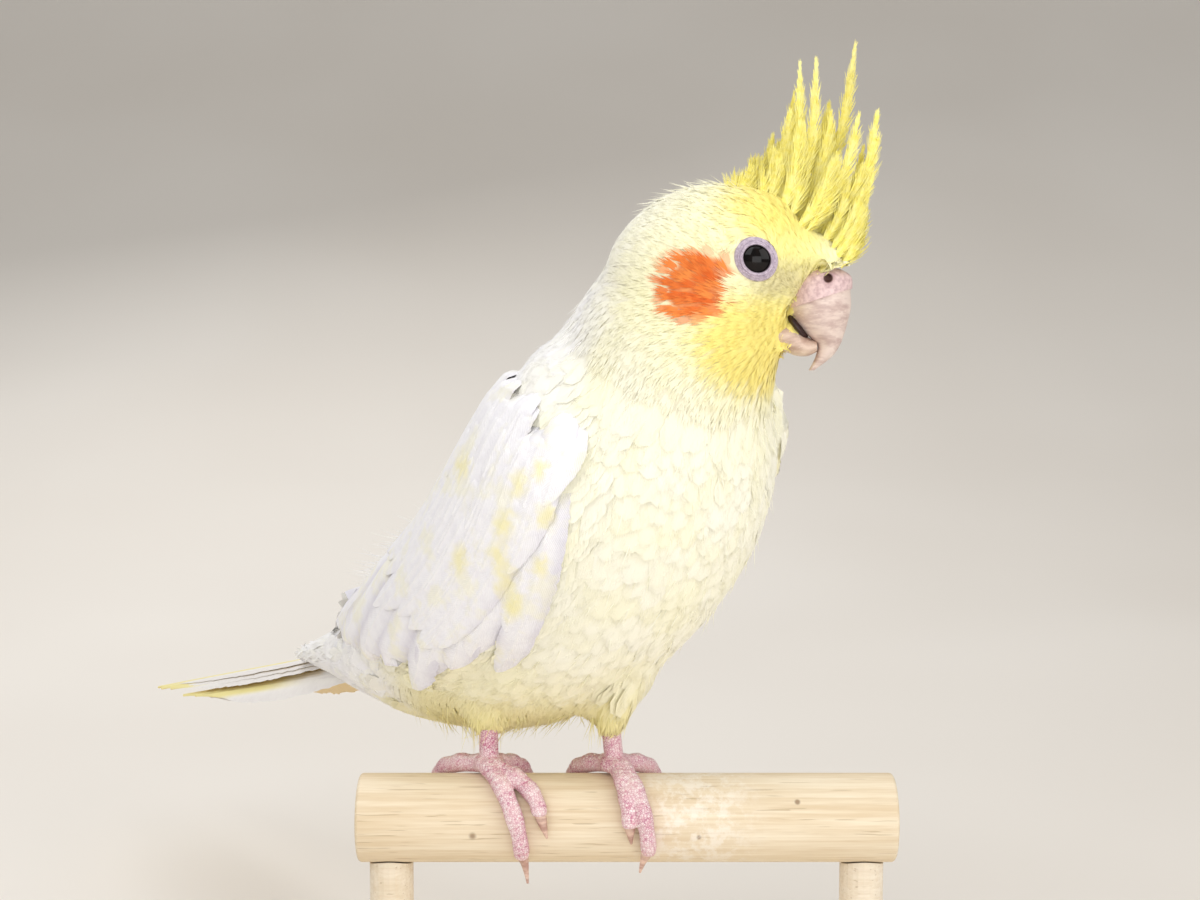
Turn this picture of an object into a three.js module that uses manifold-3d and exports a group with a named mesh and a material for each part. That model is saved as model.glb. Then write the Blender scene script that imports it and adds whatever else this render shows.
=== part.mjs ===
// A life-size standing cockatiel gripping a short wooden perch on a plain display stand.
// Millimetres. X runs along the perch, the toes reach over it towards -Y, the tail points
// away towards +Y, and Z is up. The origin is the middle of the stand's underside.
import * as THREE from "three";
import { mergeVertices } from "three/addons/utils/BufferGeometryUtils.js";
import Module from "manifold-3d";

const wasm = await Module();
wasm.setup();

// Driving sizes
const GAP = 0.3; // air left between two touching pieces
const PERCH = { diameter: 16, length: 97.5, height: 48 }; // height is that of its axis
const BASE = { length: 124, width: 104, thickness: 10, corner: 8, edge: 1.2 };
const ROD = { diameter: 8, spread: 86 }; // spread is from rod to rod
const TRUNK_YAW = -50; // degrees, from +X towards the toes
const HEAD_YAW = -8;
const HEAD_CENTRE = [15, -28, 148.2];
const EYE = { radius: 3.9, forward: 5.7, aside: 8.25, up: 0.6 };
const TOE = { radius: 1.65, tip: 1.35, claw: 1.05, clawTip: 0.28 };
const TAIL = { root: [-50, 43, 71.2], tip: [-122.6, 160, 37.2], feathers: 12 };
const HALF_THICK = { flight: 0.8, tail: 0.7 }; // of one feather

// Rings along and points around for each kind of loft
const FACETS = {
  upperBill: [10, 10],
  lowerBill: [5, 8],
  crestBase: [7, 10],
  crestFeather: [4, 5],
  feather: [4, 4],
  thigh: [6, 10],
  toe: [7, 6],
  claw: [4, 6],
  shank: [5, 8],
};

const rad = THREE.MathUtils.degToRad;
const vec = (p) => new THREE.Vector3(...p);
const UP = new THREE.Vector3(0, 0, 1);
const heading = (degrees) => new THREE.Vector3(Math.cos(rad(degrees)), Math.sin(rad(degrees)), 0);
const rightOf = (degrees) => heading(degrees - 90);
const between = (a, b, share) => a + (b - a) * share;
const SIDES = { right: 1, left: -1 };

// Solids, joined and cut with manifold-3d
function solidOf(geometry) {
  const plain = geometry.index ? geometry.toNonIndexed() : geometry.clone();
  const bare = new THREE.BufferGeometry().setAttribute("position", plain.getAttribute("position"));
  const merged = mergeVertices(bare, 1e-4);
  return new wasm.Manifold(
    new wasm.Mesh({
      numProp: 3,
      vertProperties: merged.attributes.position.array,
      triVerts: new Uint32Array(merged.index.array),
    }),
  );
}

function geometryOf(solid) {
  const mesh = solid.getMesh();
  const geometry = new THREE.BufferGeometry();
  geometry.setAttribute("position", new THREE.BufferAttribute(mesh.vertProperties, 3));
  geometry.setIndex(new THREE.BufferAttribute(mesh.triVerts, 1));
  geometry.computeVertexNormals();
  return geometry;
}

const unite = (solids) => solids.reduce((all, one) => all.add(one));
const largest = (solid) => solid.decompose().sort((a, b) => b.volume() - a.volume())[0];

// A closed solid from points and the triangles between them, turned to face outwards.
function closedSolid(positions, index) {
  const geometry = new THREE.BufferGeometry();
  geometry.setAttribute("position", new THREE.Float32BufferAttribute(positions, 3));
  geometry.setIndex(index);
  const made = solidOf(geometry);
  if (made.volume() > 0) return made;
  for (let i = 0; i < index.length; i += 3) [index[i + 1], index[i + 2]] = [index[i + 2], index[i + 1]];
  geometry.setIndex(index);
  return solidOf(geometry);
}

// Half of all space, on the side of the plane that its normal points to, as a large block.
function halfSpace(point, normal) {
  const size = 400;
  const turn = new THREE.Quaternion().setFromUnitVectors(UP, normal.clone().normalize());
  const block = new THREE.BoxGeometry(size, size, size).translate(0, 0, size / 2 + GAP / 2);
  return solidOf(block.applyQuaternion(turn).translate(...point.toArray()));
}

// A smooth run of numbers through evenly spaced values, at share t of the way.
function smooth(values, t) {
  const curve = new THREE.CatmullRomCurve3(values.map((v) => new THREE.Vector3(v, 0, 0)));
  curve.curveType = "catmullrom";
  return curve.getPoint(t).x;
}

// A body made of rounded sections strung on a smooth line. Each station has its centre, the
// half width to the side, and the half heights above and below. side is the way to the right.
class Loft {
  constructor(stations, side) {
    this.stations = stations;
    this.line = new THREE.CatmullRomCurve3(stations.map((s) => vec(s.at)));
    this.line.curveType = "catmullrom";
    this.sides = stations.map((s) => (s.side ?? side).clone());
  }

  size(key, t) {
    return Math.max(0.05, smooth(this.stations.map((s) => s[key]), t));
  }

  // The section's frame at share t of the line: centre, right and top.
  frame(t) {
    const along = this.line.getTangent(t);
    const place = t * (this.sides.length - 1);
    const before = Math.min(this.sides.length - 2, Math.floor(place));
    const right = this.sides[before].clone().lerp(this.sides[before + 1], place - before);
    right.addScaledVector(along, -right.dot(along)).normalize();
    return { centre: this.line.getPoint(t), right, top: right.clone().cross(along) };
  }

  // The point at angle turn from the top round to the right, lifted off the surface.
  point(t, turn, lift = 0) {
    const { centre, right, top } = this.frame(t);
    const wide = this.size("wide", t) + lift;
    const high = this.size(Math.cos(turn) > 0 ? "above" : "below", t) + lift;
    centre.addScaledVector(right, wide * Math.sin(turn));
    return centre.addScaledVector(top, high * Math.cos(turn));
  }

  solid(rings, around, lift = 0) {
    const positions = [];
    const index = [];
    for (let i = 0; i <= rings; i++)
      for (let j = 0; j < around; j++)
        positions.push(...this.point(i / rings, (2 * Math.PI * j) / around, lift).toArray());
    positions.push(...this.line.getPoint(0).toArray(), ...this.line.getPoint(1).toArray());
    const first = around * (rings + 1);
    for (let j = 0; j < around; j++) {
      const next = (j + 1) % around;
      for (let i = 0; i < rings; i++) {
        const a = i * around;
        const b = a + around;
        index.push(a + j, b + j, a + next, a + next, b + j, b + next);
      }
      index.push(first, j, next, first + 1, rings * around + next, rings * around + j);
    }
    return closedSolid(positions, index);
  }
}

const section = (at, wide, above, below = above) => ({ at, wide, above, below });

// Trunk and neck, from the root of the tail to inside the head
const SPINE = new Loft(
  [
    section([-68, 68, 65.4], 6.4, 2.2, 2.6),
    section([-51, 47, 70.5], 13.2, 8, 10),
    section([-36, 31, 75.5], 20.5, 13, 18),
    section([-23, 16, 84], 25, 17.6, 24.5),
    section([-11, 3, 93], 27, 22.2, 25),
    section([-1, -8, 106.5], 27, 25, 24.5),
    section([4, -15, 118], 24.5, 24.6, 22.3),
    section([6.5, -20, 128], 20, 22.6, 19.5),
    section([10, -25, 138], 16, 20.5, 17.5),
    section([14, -28, 146], 12, 14.5, 14),
  ],
  rightOf(TRUNK_YAW),
);
const TRUNK_RINGS = 20;
const TRUNK_AROUND = 18;
const trunkGrown = SPINE.solid(TRUNK_RINGS, TRUNK_AROUND, GAP);

// A point given by how far it is forward, to the right and up from the head's centre
function onHead(forward, right, up) {
  return vec(HEAD_CENTRE)
    .addScaledVector(heading(HEAD_YAW), forward)
    .addScaledVector(rightOf(HEAD_YAW), right)
    .addScaledVector(UP, up);
}

const headSection = (forward, up, wide, above, below) =>
  section(onHead(forward, 0, up).toArray(), wide, above, below);

const SKULL_STATIONS = [
  headSection(-19.4, 1, 1.5, 1.5, 1.5),
  headSection(-17, 0.5, 7, 6.5, 8),
  headSection(-11.5, 0, 10.8, 10.9, 12.5),
  headSection(-5, 0, 12.5, 13.4, 14.5),
  headSection(2, 0, 12.7, 13.8, 16.5),
  headSection(8, -0.8, 11.4, 13.2, 16),
  headSection(12.5, -1, 8.8, 11.8, 13),
  headSection(16.3, 0, 5.9, 8.6, 8.5),
  headSection(18.8, 1.6, 3.6, 4.6, 3.2),
  headSection(20.2, 2.2, 1.2, 1.7, 1.2),
];
const skullAt = (ahead) => {
  const move = ({ at, ...sizes }) => ({
    at: vec(at).addScaledVector(heading(HEAD_YAW), ahead).toArray(),
    ...sizes,
  });
  return new Loft(SKULL_STATIONS.map(move), rightOf(HEAD_YAW));
};
const SKULL = skullAt(0);
const SKULL_RINGS = 12;
const SKULL_AROUND = 16;

// Bill: level sections down the hooked upper half, and upright ones along the lower half
const billSection = (forward, up, wide, reach) =>
  section(onHead(forward, 0, up).toArray(), wide, reach, reach);
const UPPER_BILL = new Loft(
  [
    billSection(16.2, -0.5, 2.2, 2),
    billSection(16, -2, 4, 4.4),
    billSection(15.7, -4.5, 4.8, 4.9),
    billSection(15.8, -7, 4.9, 4.9),
    billSection(16.2, -9.5, 4.2, 4),
    billSection(16.8, -11.5, 3.3, 2.9),
    billSection(17.4, -13, 2.3, 1.8),
    billSection(16.6, -15, 1.6, 1.3),
    billSection(14.6, -17.3, 0.45, 0.4),
  ],
  rightOf(HEAD_YAW),
);
const LOWER_BILL = new Loft(
  [
    headSection(7, -10.6, 3.9, 2.2, 2.6),
    headSection(9.5, -11.2, 4.2, 2.2, 2.6),
    headSection(12, -12.3, 4, 2.2, 2.5),
    headSection(14, -13.5, 3.2, 1.2, 1.4),
    headSection(15.6, -13.4, 2.1, 0.6, 0.8),
  ],
  rightOf(HEAD_YAW),
);

function makeBill() {
  const upper = UPPER_BILL.solid(...FACETS.upperBill);
  const seam = onHead(17, 0, -5.2);
  const tilt = heading(HEAD_YAW).multiplyScalar(-0.35).add(UP);
  const cere = upper.intersect(halfSpace(seam, tilt));
  const horn = upper.intersect(halfSpace(seam, tilt.clone().negate()));
  const above = UPPER_BILL.solid(...FACETS.upperBill, 2 * GAP);
  const lower = LOWER_BILL.solid(...FACETS.lowerBill).subtract(above);
  return { cere: largest(cere), upper: largest(horn), lower: largest(lower) };
}

function eyeball(side, lift = 0) {
  const ball = new THREE.SphereGeometry(EYE.radius + lift, 12, 8).rotateX(Math.PI / 2);
  return solidOf(ball.translate(...onHead(EYE.forward, side * EYE.aside, EYE.up).toArray()));
}

// Head, neck and trunk: one body parted by two thin cuts
function makeFlesh() {
  const whole = SPINE.solid(TRUNK_RINGS, TRUNK_AROUND).add(SKULL.solid(SKULL_RINGS, SKULL_AROUND));
  const planeAcross = (back, front) => {
    const along = onHead(...front).sub(onHead(...back));
    return { point: onHead(...back), normal: rightOf(HEAD_YAW).clone().cross(along) };
  };
  const jaw = planeAcross([-19.5, 0, -3.5], [8, 0, -21.5]);
  const collar = planeAcross([-29.3, 0, -14.5], [8.9, 0, -31]);
  for (const plane of [jaw, collar]) if (plane.normal.z < 0) plane.normal.negate();
  const above = (plane) => halfSpace(plane.point, plane.normal);
  const under = (plane) => halfSpace(plane.point, plane.normal.clone().negate());
  const bill = [
    UPPER_BILL.solid(...FACETS.upperBill, 1.5 * GAP),
    LOWER_BILL.solid(...FACETS.lowerBill, 1.5 * GAP),
  ];
  const sockets = Object.values(SIDES).map((side) => eyeball(side, GAP));
  const head = [...bill, ...sockets].reduce((rest, cut) => rest.subtract(cut), whole.intersect(above(jaw)));
  return {
    head: largest(head),
    neck: largest(whole.intersect(under(jaw)).intersect(above(collar))),
    trunk: largest(whole.intersect(under(collar))),
  };
}

// Crest: each feather's root and tip as [forward, right, up] on the head, and its bow forward
const CREST_BASE = new Loft(
  [
    headSection(0, 11.6, 1.2, 1, 2),
    headSection(4, 11.4, 3, 1.6, 3),
    headSection(8, 10.4, 3.4, 1.9, 4),
    headSection(12, 8.4, 3.4, 2.4, 4),
    headSection(16, 5.6, 3, 2.8, 3),
    headSection(18.2, 4.2, 1.4, 1.6, 2),
  ],
  rightOf(HEAD_YAW),
);
const CREST = [
  { root: [2, 0.8, 10.5], tip: [4.8, 1.6, 15.2], bow: 0.2, half: 1.5 },
  { root: [4.5, -1.2, 10.5], tip: [8, -2.2, 20.6], bow: 0.6, half: 1.5 },
  { root: [6, 1.6, 10], tip: [10.7, 2.6, 20.5], bow: 0.8, half: 1.5 },
  { root: [7, -1.4, 9.5], tip: [11.4, -2, 27.3], bow: 1.2, half: 1.6 },
  { root: [8.5, 0.4, 9], tip: [12.4, 0.6, 31.7], bow: 2, half: 1.6 },
  { root: [10, 1.4, 8.5], tip: [15, 1.8, 32.1], bow: 2.2, half: 1.6 },
  { root: [11.5, -0.8, 7.5], tip: [21.1, -1, 34.7], bow: 3, half: 1.7 },
  { root: [13, 1.6, 6.5], tip: [21.8, 2.2, 23.2], bow: 2.4, half: 1.7 },
  { root: [14.5, -1.2, 5], tip: [22.6, -1.6, 18.4], bow: 2.2, half: 1.6 },
  { root: [15.2, 0.4, 4.4], tip: [24.7, 0.4, 23.8], bow: 3.4, half: 1.8 },
];

function makeCrest() {
  const widths = [1, 1.15, 0.95, 0.65, 0.3];
  const feathers = CREST.map(({ root, tip, bow, half }) => {
    const stations = widths.map((width, i) => {
      const share = i / (widths.length - 1);
      const place = root.map((value, k) => between(value, tip[k], share));
      place[0] += bow * Math.sin(Math.PI * share) * (1 - 0.4 * share);
      return section(onHead(...place).toArray(), Math.max(0.3, 0.55 * width), width * half);
    });
    return new Loft(stations, rightOf(HEAD_YAW)).solid(...FACETS.crestFeather);
  });
  const skulls = [SKULL, skullAt(2 * GAP)].map((one) => one.solid(SKULL_RINGS, SKULL_AROUND, 2 * GAP));
  return largest(unite([CREST_BASE.solid(...FACETS.crestBase), ...feathers]).subtract(unite(skulls)));
}

// Wings. A place on the flank is [t, turn]: the share of the spine's length from the tail,
// and the degrees from the middle of the back down the side.
const WING_ROWS = [
  { t: 0.79, from: 50, to: 84, rise: 0.4 },
  { t: 0.765, from: 36, to: 97, rise: 2 },
  { t: 0.7, from: 24, to: 112, rise: 3.2 },
  { t: 0.62, from: 20, to: 118, rise: 3 },
  { t: 0.53, from: 17, to: 116, rise: 2.6 },
  { t: 0.44, from: 14, to: 111, rise: 2.3 },
  { t: 0.36, from: 12, to: 104, rise: 2 },
  { t: 0.29, from: 11, to: 94, rise: 1.6 },
  { t: 0.22, from: 10, to: 80, rise: 1 },
];
const WING_EDGE = { back: 1.3, front: 1.7 }; // height of the rim over the flank
const TUCK = { right: 0, left: 9 }; // degrees by which the breast covers the front edge
const FLIGHT = [
  { root: [0.69, 109], tip: [0.447, 129], half: 3.4 },
  { root: [0.66, 104], tip: [0.475, 121], half: 3 },
  { root: [0.6, 98], tip: [0.425, 118], half: 3.4 },
  { root: [0.56, 92], tip: [0.393, 118], half: 3.4 },
  { root: [0.53, 87], tip: [0.352, 115], half: 3.6 },
  { root: [0.5, 82], tip: [0.322, 119], half: 3.4 },
  { root: [0.47, 74], tip: [0.3, 105], half: 3.8 },
  { root: [0.44, 66], tip: [0.262, 97], half: 3.8 },
  { root: [0.41, 56], tip: [0.21, 82], half: 4 },
  { root: [0.38, 44], tip: [0.17, 62], half: 4 },
  { root: [0.36, 32], tip: [0.145, 42], half: 4 },
];

function wingCover(side, tuck) {
  const rows = 10;
  const across = 7;
  const positions = [];
  const index = [];
  const key = (name, u) => smooth(WING_ROWS.map((row) => row[name]), u);
  for (let i = 0; i <= rows; i++)
    for (let j = 0; j <= across; j++) {
      const u = i / rows;
      const v = j / across;
      const turn = side * rad(between(key("from", u), key("to", u) - tuck, v));
      const rim = between(WING_EDGE.back, WING_EDGE.front, v);
      const lift = rim + key("rise", u) * Math.sin(Math.PI * v) ** 0.8;
      positions.push(...SPINE.point(key("t", u), turn, lift).toArray());
      positions.push(...SPINE.point(key("t", u), turn, 2.4 * GAP).toArray());
    }
  const at = (i, j, inner) => 2 * (i * (across + 1) + j) + inner;
  const quad = (a, b, c, d) => index.push(a, b, c, a, c, d);
  for (let i = 0; i < rows; i++)
    for (let j = 0; j < across; j++) {
      quad(at(i, j, 0), at(i + 1, j, 0), at(i + 1, j + 1, 0), at(i, j + 1, 0));
      quad(at(i, j, 1), at(i, j + 1, 1), at(i + 1, j + 1, 1), at(i + 1, j, 1));
    }
  for (let i = 0; i < rows; i++) {
    quad(at(i, 0, 0), at(i, 0, 1), at(i + 1, 0, 1), at(i + 1, 0, 0));
    quad(at(i, across, 0), at(i + 1, across, 0), at(i + 1, across, 1), at(i, across, 1));
  }
  for (let j = 0; j < across; j++) {
    quad(at(0, j, 0), at(0, j + 1, 0), at(0, j + 1, 1), at(0, j, 1));
    quad(at(rows, j, 0), at(rows, j, 1), at(rows, j + 1, 1), at(rows, j + 1, 0));
  }
  return closedSolid(positions, index);
}

// One flight feather lying on the flank, its flat side to the body
function flightFeather({ root, tip, half }, side, tuck, lift) {
  const widths = [0.7, 0.95, 1, 0.95, 0.3];
  const spots = widths.map((width, i) => {
    const share = i / (widths.length - 1);
    const turn = side * rad(between(root[1], tip[1], share) - tuck);
    return SPINE.point(between(root[0], tip[0], share), turn, lift);
  });
  const stations = spots.map((spot, i) => {
    const along = spots[Math.min(i + 1, 4)].clone().sub(spots[Math.max(i - 1, 0)]);
    const share = between(root[0], tip[0], i / 4);
    const out = spot.clone().sub(SPINE.line.getPoint(share));
    const plate = section(spot.toArray(), half * widths[i], HALF_THICK.flight);
    return { ...plate, side: along.cross(out).normalize() };
  });
  return new Loft(stations, stations[0].side).solid(...FACETS.feather);
}

function makeWing(side, tuck) {
  const lift = { first: 1.8, step: 0.04 };
  const feather = (one, i) => flightFeather(one, side, tuck, lift.first + i * lift.step);
  return largest(unite([wingCover(side, tuck), ...FLIGHT.map(feather)]).subtract(trunkGrown));
}

// Tail: feathers in pairs from the long middle ones to the short outer ones
function makeTail() {
  const root = vec(TAIL.root);
  const along = vec(TAIL.tip).sub(root);
  const side = along.clone().cross(UP).normalize();
  const lengths = [1, 0.94, 0.85, 0.75, 0.66, 0.57];
  const widths = [2.6, 4.2, 4.6, 4, 0.6];
  const feathers = [];
  for (let i = 0; i < TAIL.feathers; i++) {
    const pair = Math.floor(i / 2);
    const way = i % 2 ? 1 : -1;
    const stations = widths.map((half, k) => {
      const share = (k / (widths.length - 1)) * lengths[pair];
      const place = root.clone().addScaledVector(along, share);
      place.addScaledVector(side, way * (1.1 + pair * between(0.8, 1.9, share)));
      place.addScaledVector(UP, -0.95 * pair - (way > 0 ? 0.25 : 0));
      return section(place.toArray(), half, HALF_THICK.tail);
    });
    feathers.push(new Loft(stations, side).solid(...FACETS.feather));
  }
  return largest(unite(feathers).subtract(trunkGrown));
}

// Legs. Places are given by x along the perch and the angle round it from its top to the front.
const perchRadius = PERCH.diameter / 2;
function onPerch(x, degrees, clear) {
  const reach = perchRadius + clear;
  return [x, -reach * Math.sin(rad(degrees)), PERCH.height + reach * Math.cos(rad(degrees))];
}

const LEGS = {
  right: {
    thigh: [[-30, 10, 82], [-27.5, 5, 73], [-25.6, 1.5, 65.5], [-25.2, 0.6, 61.8]],
    foot: -25,
    toes: [
      { x: [-23.5, -18.5], angle: [-8, -62], claw: -98, out: 0 },
      { x: [-24, -15.6], angle: [10, 72], claw: 98, out: 0.6 },
      { x: [-25.2, -18.8], angle: [10, 119], claw: 141, out: 4.2 },
      { x: [-26.5, -35], angle: [-4, -58], claw: -94, out: 0 },
    ],
  },
  left: {
    thigh: [[1.5, -3, 84], [-1.4, -1.6, 74], [-3, 0.4, 66], [-2.8, 0.6, 61.5]],
    foot: -2.2,
    toes: [
      { x: [-3.5, -10], angle: [-6, -60], claw: -96, out: 0 },
      { x: [-1.6, 0.4], angle: [12, 84], claw: 104, out: 1 },
      { x: [-0.8, 3.8], angle: [12, 114], claw: 136, out: 2.6, lean: -1.5 },
      { x: [-1, 5.4], angle: [-6, -60], claw: -96, out: 0 },
    ],
  },
};
const THIGH_SIZES = [8, 6.6, 4.4, 2.8];

function makeThigh(leg, lift = 0) {
  const stations = leg.thigh.map((at, i) => section(at, THIGH_SIZES[i], THIGH_SIZES[i]));
  return new Loft(stations, rightOf(TRUNK_YAW)).solid(...FACETS.thigh, lift);
}

function makeToe({ x, angle }) {
  const radii = [TOE.radius, TOE.radius, TOE.radius, 1.5, TOE.tip];
  const stations = radii.map((radius, i) => {
    const share = i / (radii.length - 1);
    const across = between(x[0], x[1], Math.sin((share * Math.PI) / 2));
    return section(onPerch(across, between(...angle, share), GAP + radius), radius, radius);
  });
  return new Loft(stations, new THREE.Vector3(1, 0, 0)).solid(...FACETS.toe);
}

function makeClaw({ x, angle, claw, out, lean = (x[1] - x[0]) * 0.16 }) {
  const radii = [TOE.claw, TOE.claw * 0.85, TOE.claw * 0.6, TOE.clawTip];
  const airGap = 4.5; // degrees between toe and claw
  const start = angle[1] + Math.sign(angle[1]) * airGap;
  const stations = radii.map((radius, i) => {
    const share = i / (radii.length - 1);
    const clear = GAP + between(TOE.tip, TOE.clawTip, share) + out * share ** 2;
    return section(onPerch(x[1] + lean * share, between(start, claw, share), clear), radius, radius);
  });
  return new Loft(stations, new THREE.Vector3(1, 0, 0)).solid(...FACETS.claw);
}

function makeFoot(leg) {
  const ankle = vec(leg.thigh[3]);
  const pad = new THREE.SphereGeometry(1, 8, 6).rotateX(Math.PI / 2).scale(2.9, 3.2, 1.9);
  const sole = vec(onPerch(leg.foot, 0, GAP + 1.9));
  pad.translate(...sole.toArray());
  const shin = [ankle.clone().addScaledVector(UP, 2), ankle, sole.clone().lerp(ankle, 0.5), sole];
  const sizes = [1.9, 1.8, 1.8, 2];
  const stations = shin.map((place, i) => section(place.toArray(), sizes[i], sizes[i]));
  const shank = new Loft(stations, new THREE.Vector3(1, 0, 0)).solid(...FACETS.shank);
  return unite([solidOf(pad), shank, ...leg.toes.map(makeToe)]);
}

// Stand: the perch, two rods and a flat base
function rodAlong(length, diameter, sides = 24) {
  return new THREE.CylinderGeometry(diameter / 2, diameter / 2, length, sides);
}

function perchSolid(lift = 0) {
  const rod = rodAlong(PERCH.length + 2 * lift, PERCH.diameter + 2 * lift, 40);
  return solidOf(rod.rotateZ(Math.PI / 2).translate(0, 0, PERCH.height));
}

function makeRod(x) {
  const foot = BASE.thickness + GAP;
  const length = PERCH.height - foot;
  const rod = rodAlong(length, ROD.diameter).rotateX(Math.PI / 2).translate(x, 0, foot + length / 2);
  return largest(solidOf(rod).subtract(perchSolid(GAP)));
}

function makeBase() {
  const { length, width, corner, edge } = BASE;
  const [halfLength, halfWidth] = [length / 2 - edge, width / 2 - edge];
  const outline = new THREE.Shape();
  const corners = [[1, 1], [-1, 1], [-1, -1], [1, -1]];
  corners.forEach(([x, y], i) => {
    const centre = [x * (halfLength - corner), y * (halfWidth - corner)];
    outline.absarc(...centre, corner, (i * Math.PI) / 2, ((i + 1) * Math.PI) / 2, false);
  });
  const slab = new THREE.ExtrudeGeometry(outline, {
    depth: BASE.thickness - 2 * edge,
    bevelThickness: edge,
    bevelSize: edge,
    bevelSegments: 1,
    curveSegments: 4,
  });
  return solidOf(slab.translate(0, 0, edge));
}

const group = new THREE.Group();
function show(name, solid, color, roughness = 0.8) {
  const material = new THREE.MeshStandardMaterial({ color, roughness, metalness: 0 });
  const mesh = new THREE.Mesh(geometryOf(solid), material);
  mesh.name = name;
  group.add(mesh);
}

const COLOURS = {
  cream: 0xf6f3d8,
  white: 0xf7f6f2,
  yellow: 0xf6e85a,
  horn: 0xd9bdb0,
  pink: 0xdf9fa4,
  claw: 0xcfae9f,
  eye: 0x120c0c,
  wood: 0xe2d3b4,
};

const flesh = makeFlesh();
show("head", flesh.head, COLOURS.yellow);
show("neck", flesh.neck, COLOURS.cream);
show("trunk", flesh.trunk, COLOURS.cream);
show("crest", makeCrest(), COLOURS.yellow);
show("tail", makeTail(), COLOURS.white);

const bill = makeBill();
show("cere", bill.cere, COLOURS.pink, 0.6);
show("bill_upper", bill.upper, COLOURS.horn, 0.45);
show("bill_lower", bill.lower, COLOURS.horn, 0.45);

for (const [name, side] of Object.entries(SIDES)) {
  const leg = LEGS[name];
  show(`eye_${name}`, eyeball(side), COLOURS.eye, 0.1);
  show(`wing_${name}`, makeWing(side, TUCK[name]), COLOURS.white);
  show(`thigh_${name}`, largest(makeThigh(leg).subtract(trunkGrown)), COLOURS.cream);
  show(`foot_${name}`, largest(makeFoot(leg).subtract(makeThigh(leg, GAP))), COLOURS.pink, 0.55);
  leg.toes.forEach((toe, i) => show(`claw_${name}_${i + 1}`, makeClaw(toe), COLOURS.claw, 0.4));
  show(`stand_rod_${name}`, makeRod((-side * ROD.spread) / 2), COLOURS.wood, 0.6);
}
show("stand_perch", perchSolid(), COLOURS.wood, 0.7);
show("stand_base", makeBase(), COLOURS.wood, 0.6);

export default group;
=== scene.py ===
# %% [markdown]
# # A cockatiel on its perch
#
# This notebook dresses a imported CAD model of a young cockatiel. The CAD model gives every
# part its place and outline. Here the flesh becomes one skin, thousands of small feathers
# grow on it, and bill, eyes, feet and wood get their fine shape and finish. Lengths in the
# named values are millimetres, because a bird is small, and meshes are built in metres.

# %% Load the frame
import math
import bpy
import bmesh
import numpy as np
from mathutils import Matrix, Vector
from mathutils.bvhtree import BVHTree
from mathutils.kdtree import KDTree


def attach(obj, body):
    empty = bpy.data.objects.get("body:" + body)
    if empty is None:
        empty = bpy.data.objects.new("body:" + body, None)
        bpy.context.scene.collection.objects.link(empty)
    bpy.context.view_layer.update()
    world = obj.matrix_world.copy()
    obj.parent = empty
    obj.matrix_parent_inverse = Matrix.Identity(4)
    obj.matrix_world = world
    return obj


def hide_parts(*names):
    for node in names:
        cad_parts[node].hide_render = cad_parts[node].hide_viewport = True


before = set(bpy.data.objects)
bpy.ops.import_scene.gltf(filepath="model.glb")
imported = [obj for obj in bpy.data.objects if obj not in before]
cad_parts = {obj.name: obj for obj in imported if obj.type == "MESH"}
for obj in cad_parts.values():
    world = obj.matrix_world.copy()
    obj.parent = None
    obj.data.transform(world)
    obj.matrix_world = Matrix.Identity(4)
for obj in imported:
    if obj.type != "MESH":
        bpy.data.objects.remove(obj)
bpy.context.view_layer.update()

MM = 0.001
print("CAD nodes:", len(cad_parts))

# %% [markdown]
# ## Shader maths
#
# A material is a graph of nodes. Writing each link by hand is long, so one small class
# wraps a socket: Python operators add Math nodes, and `make` adds any other node.


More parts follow.
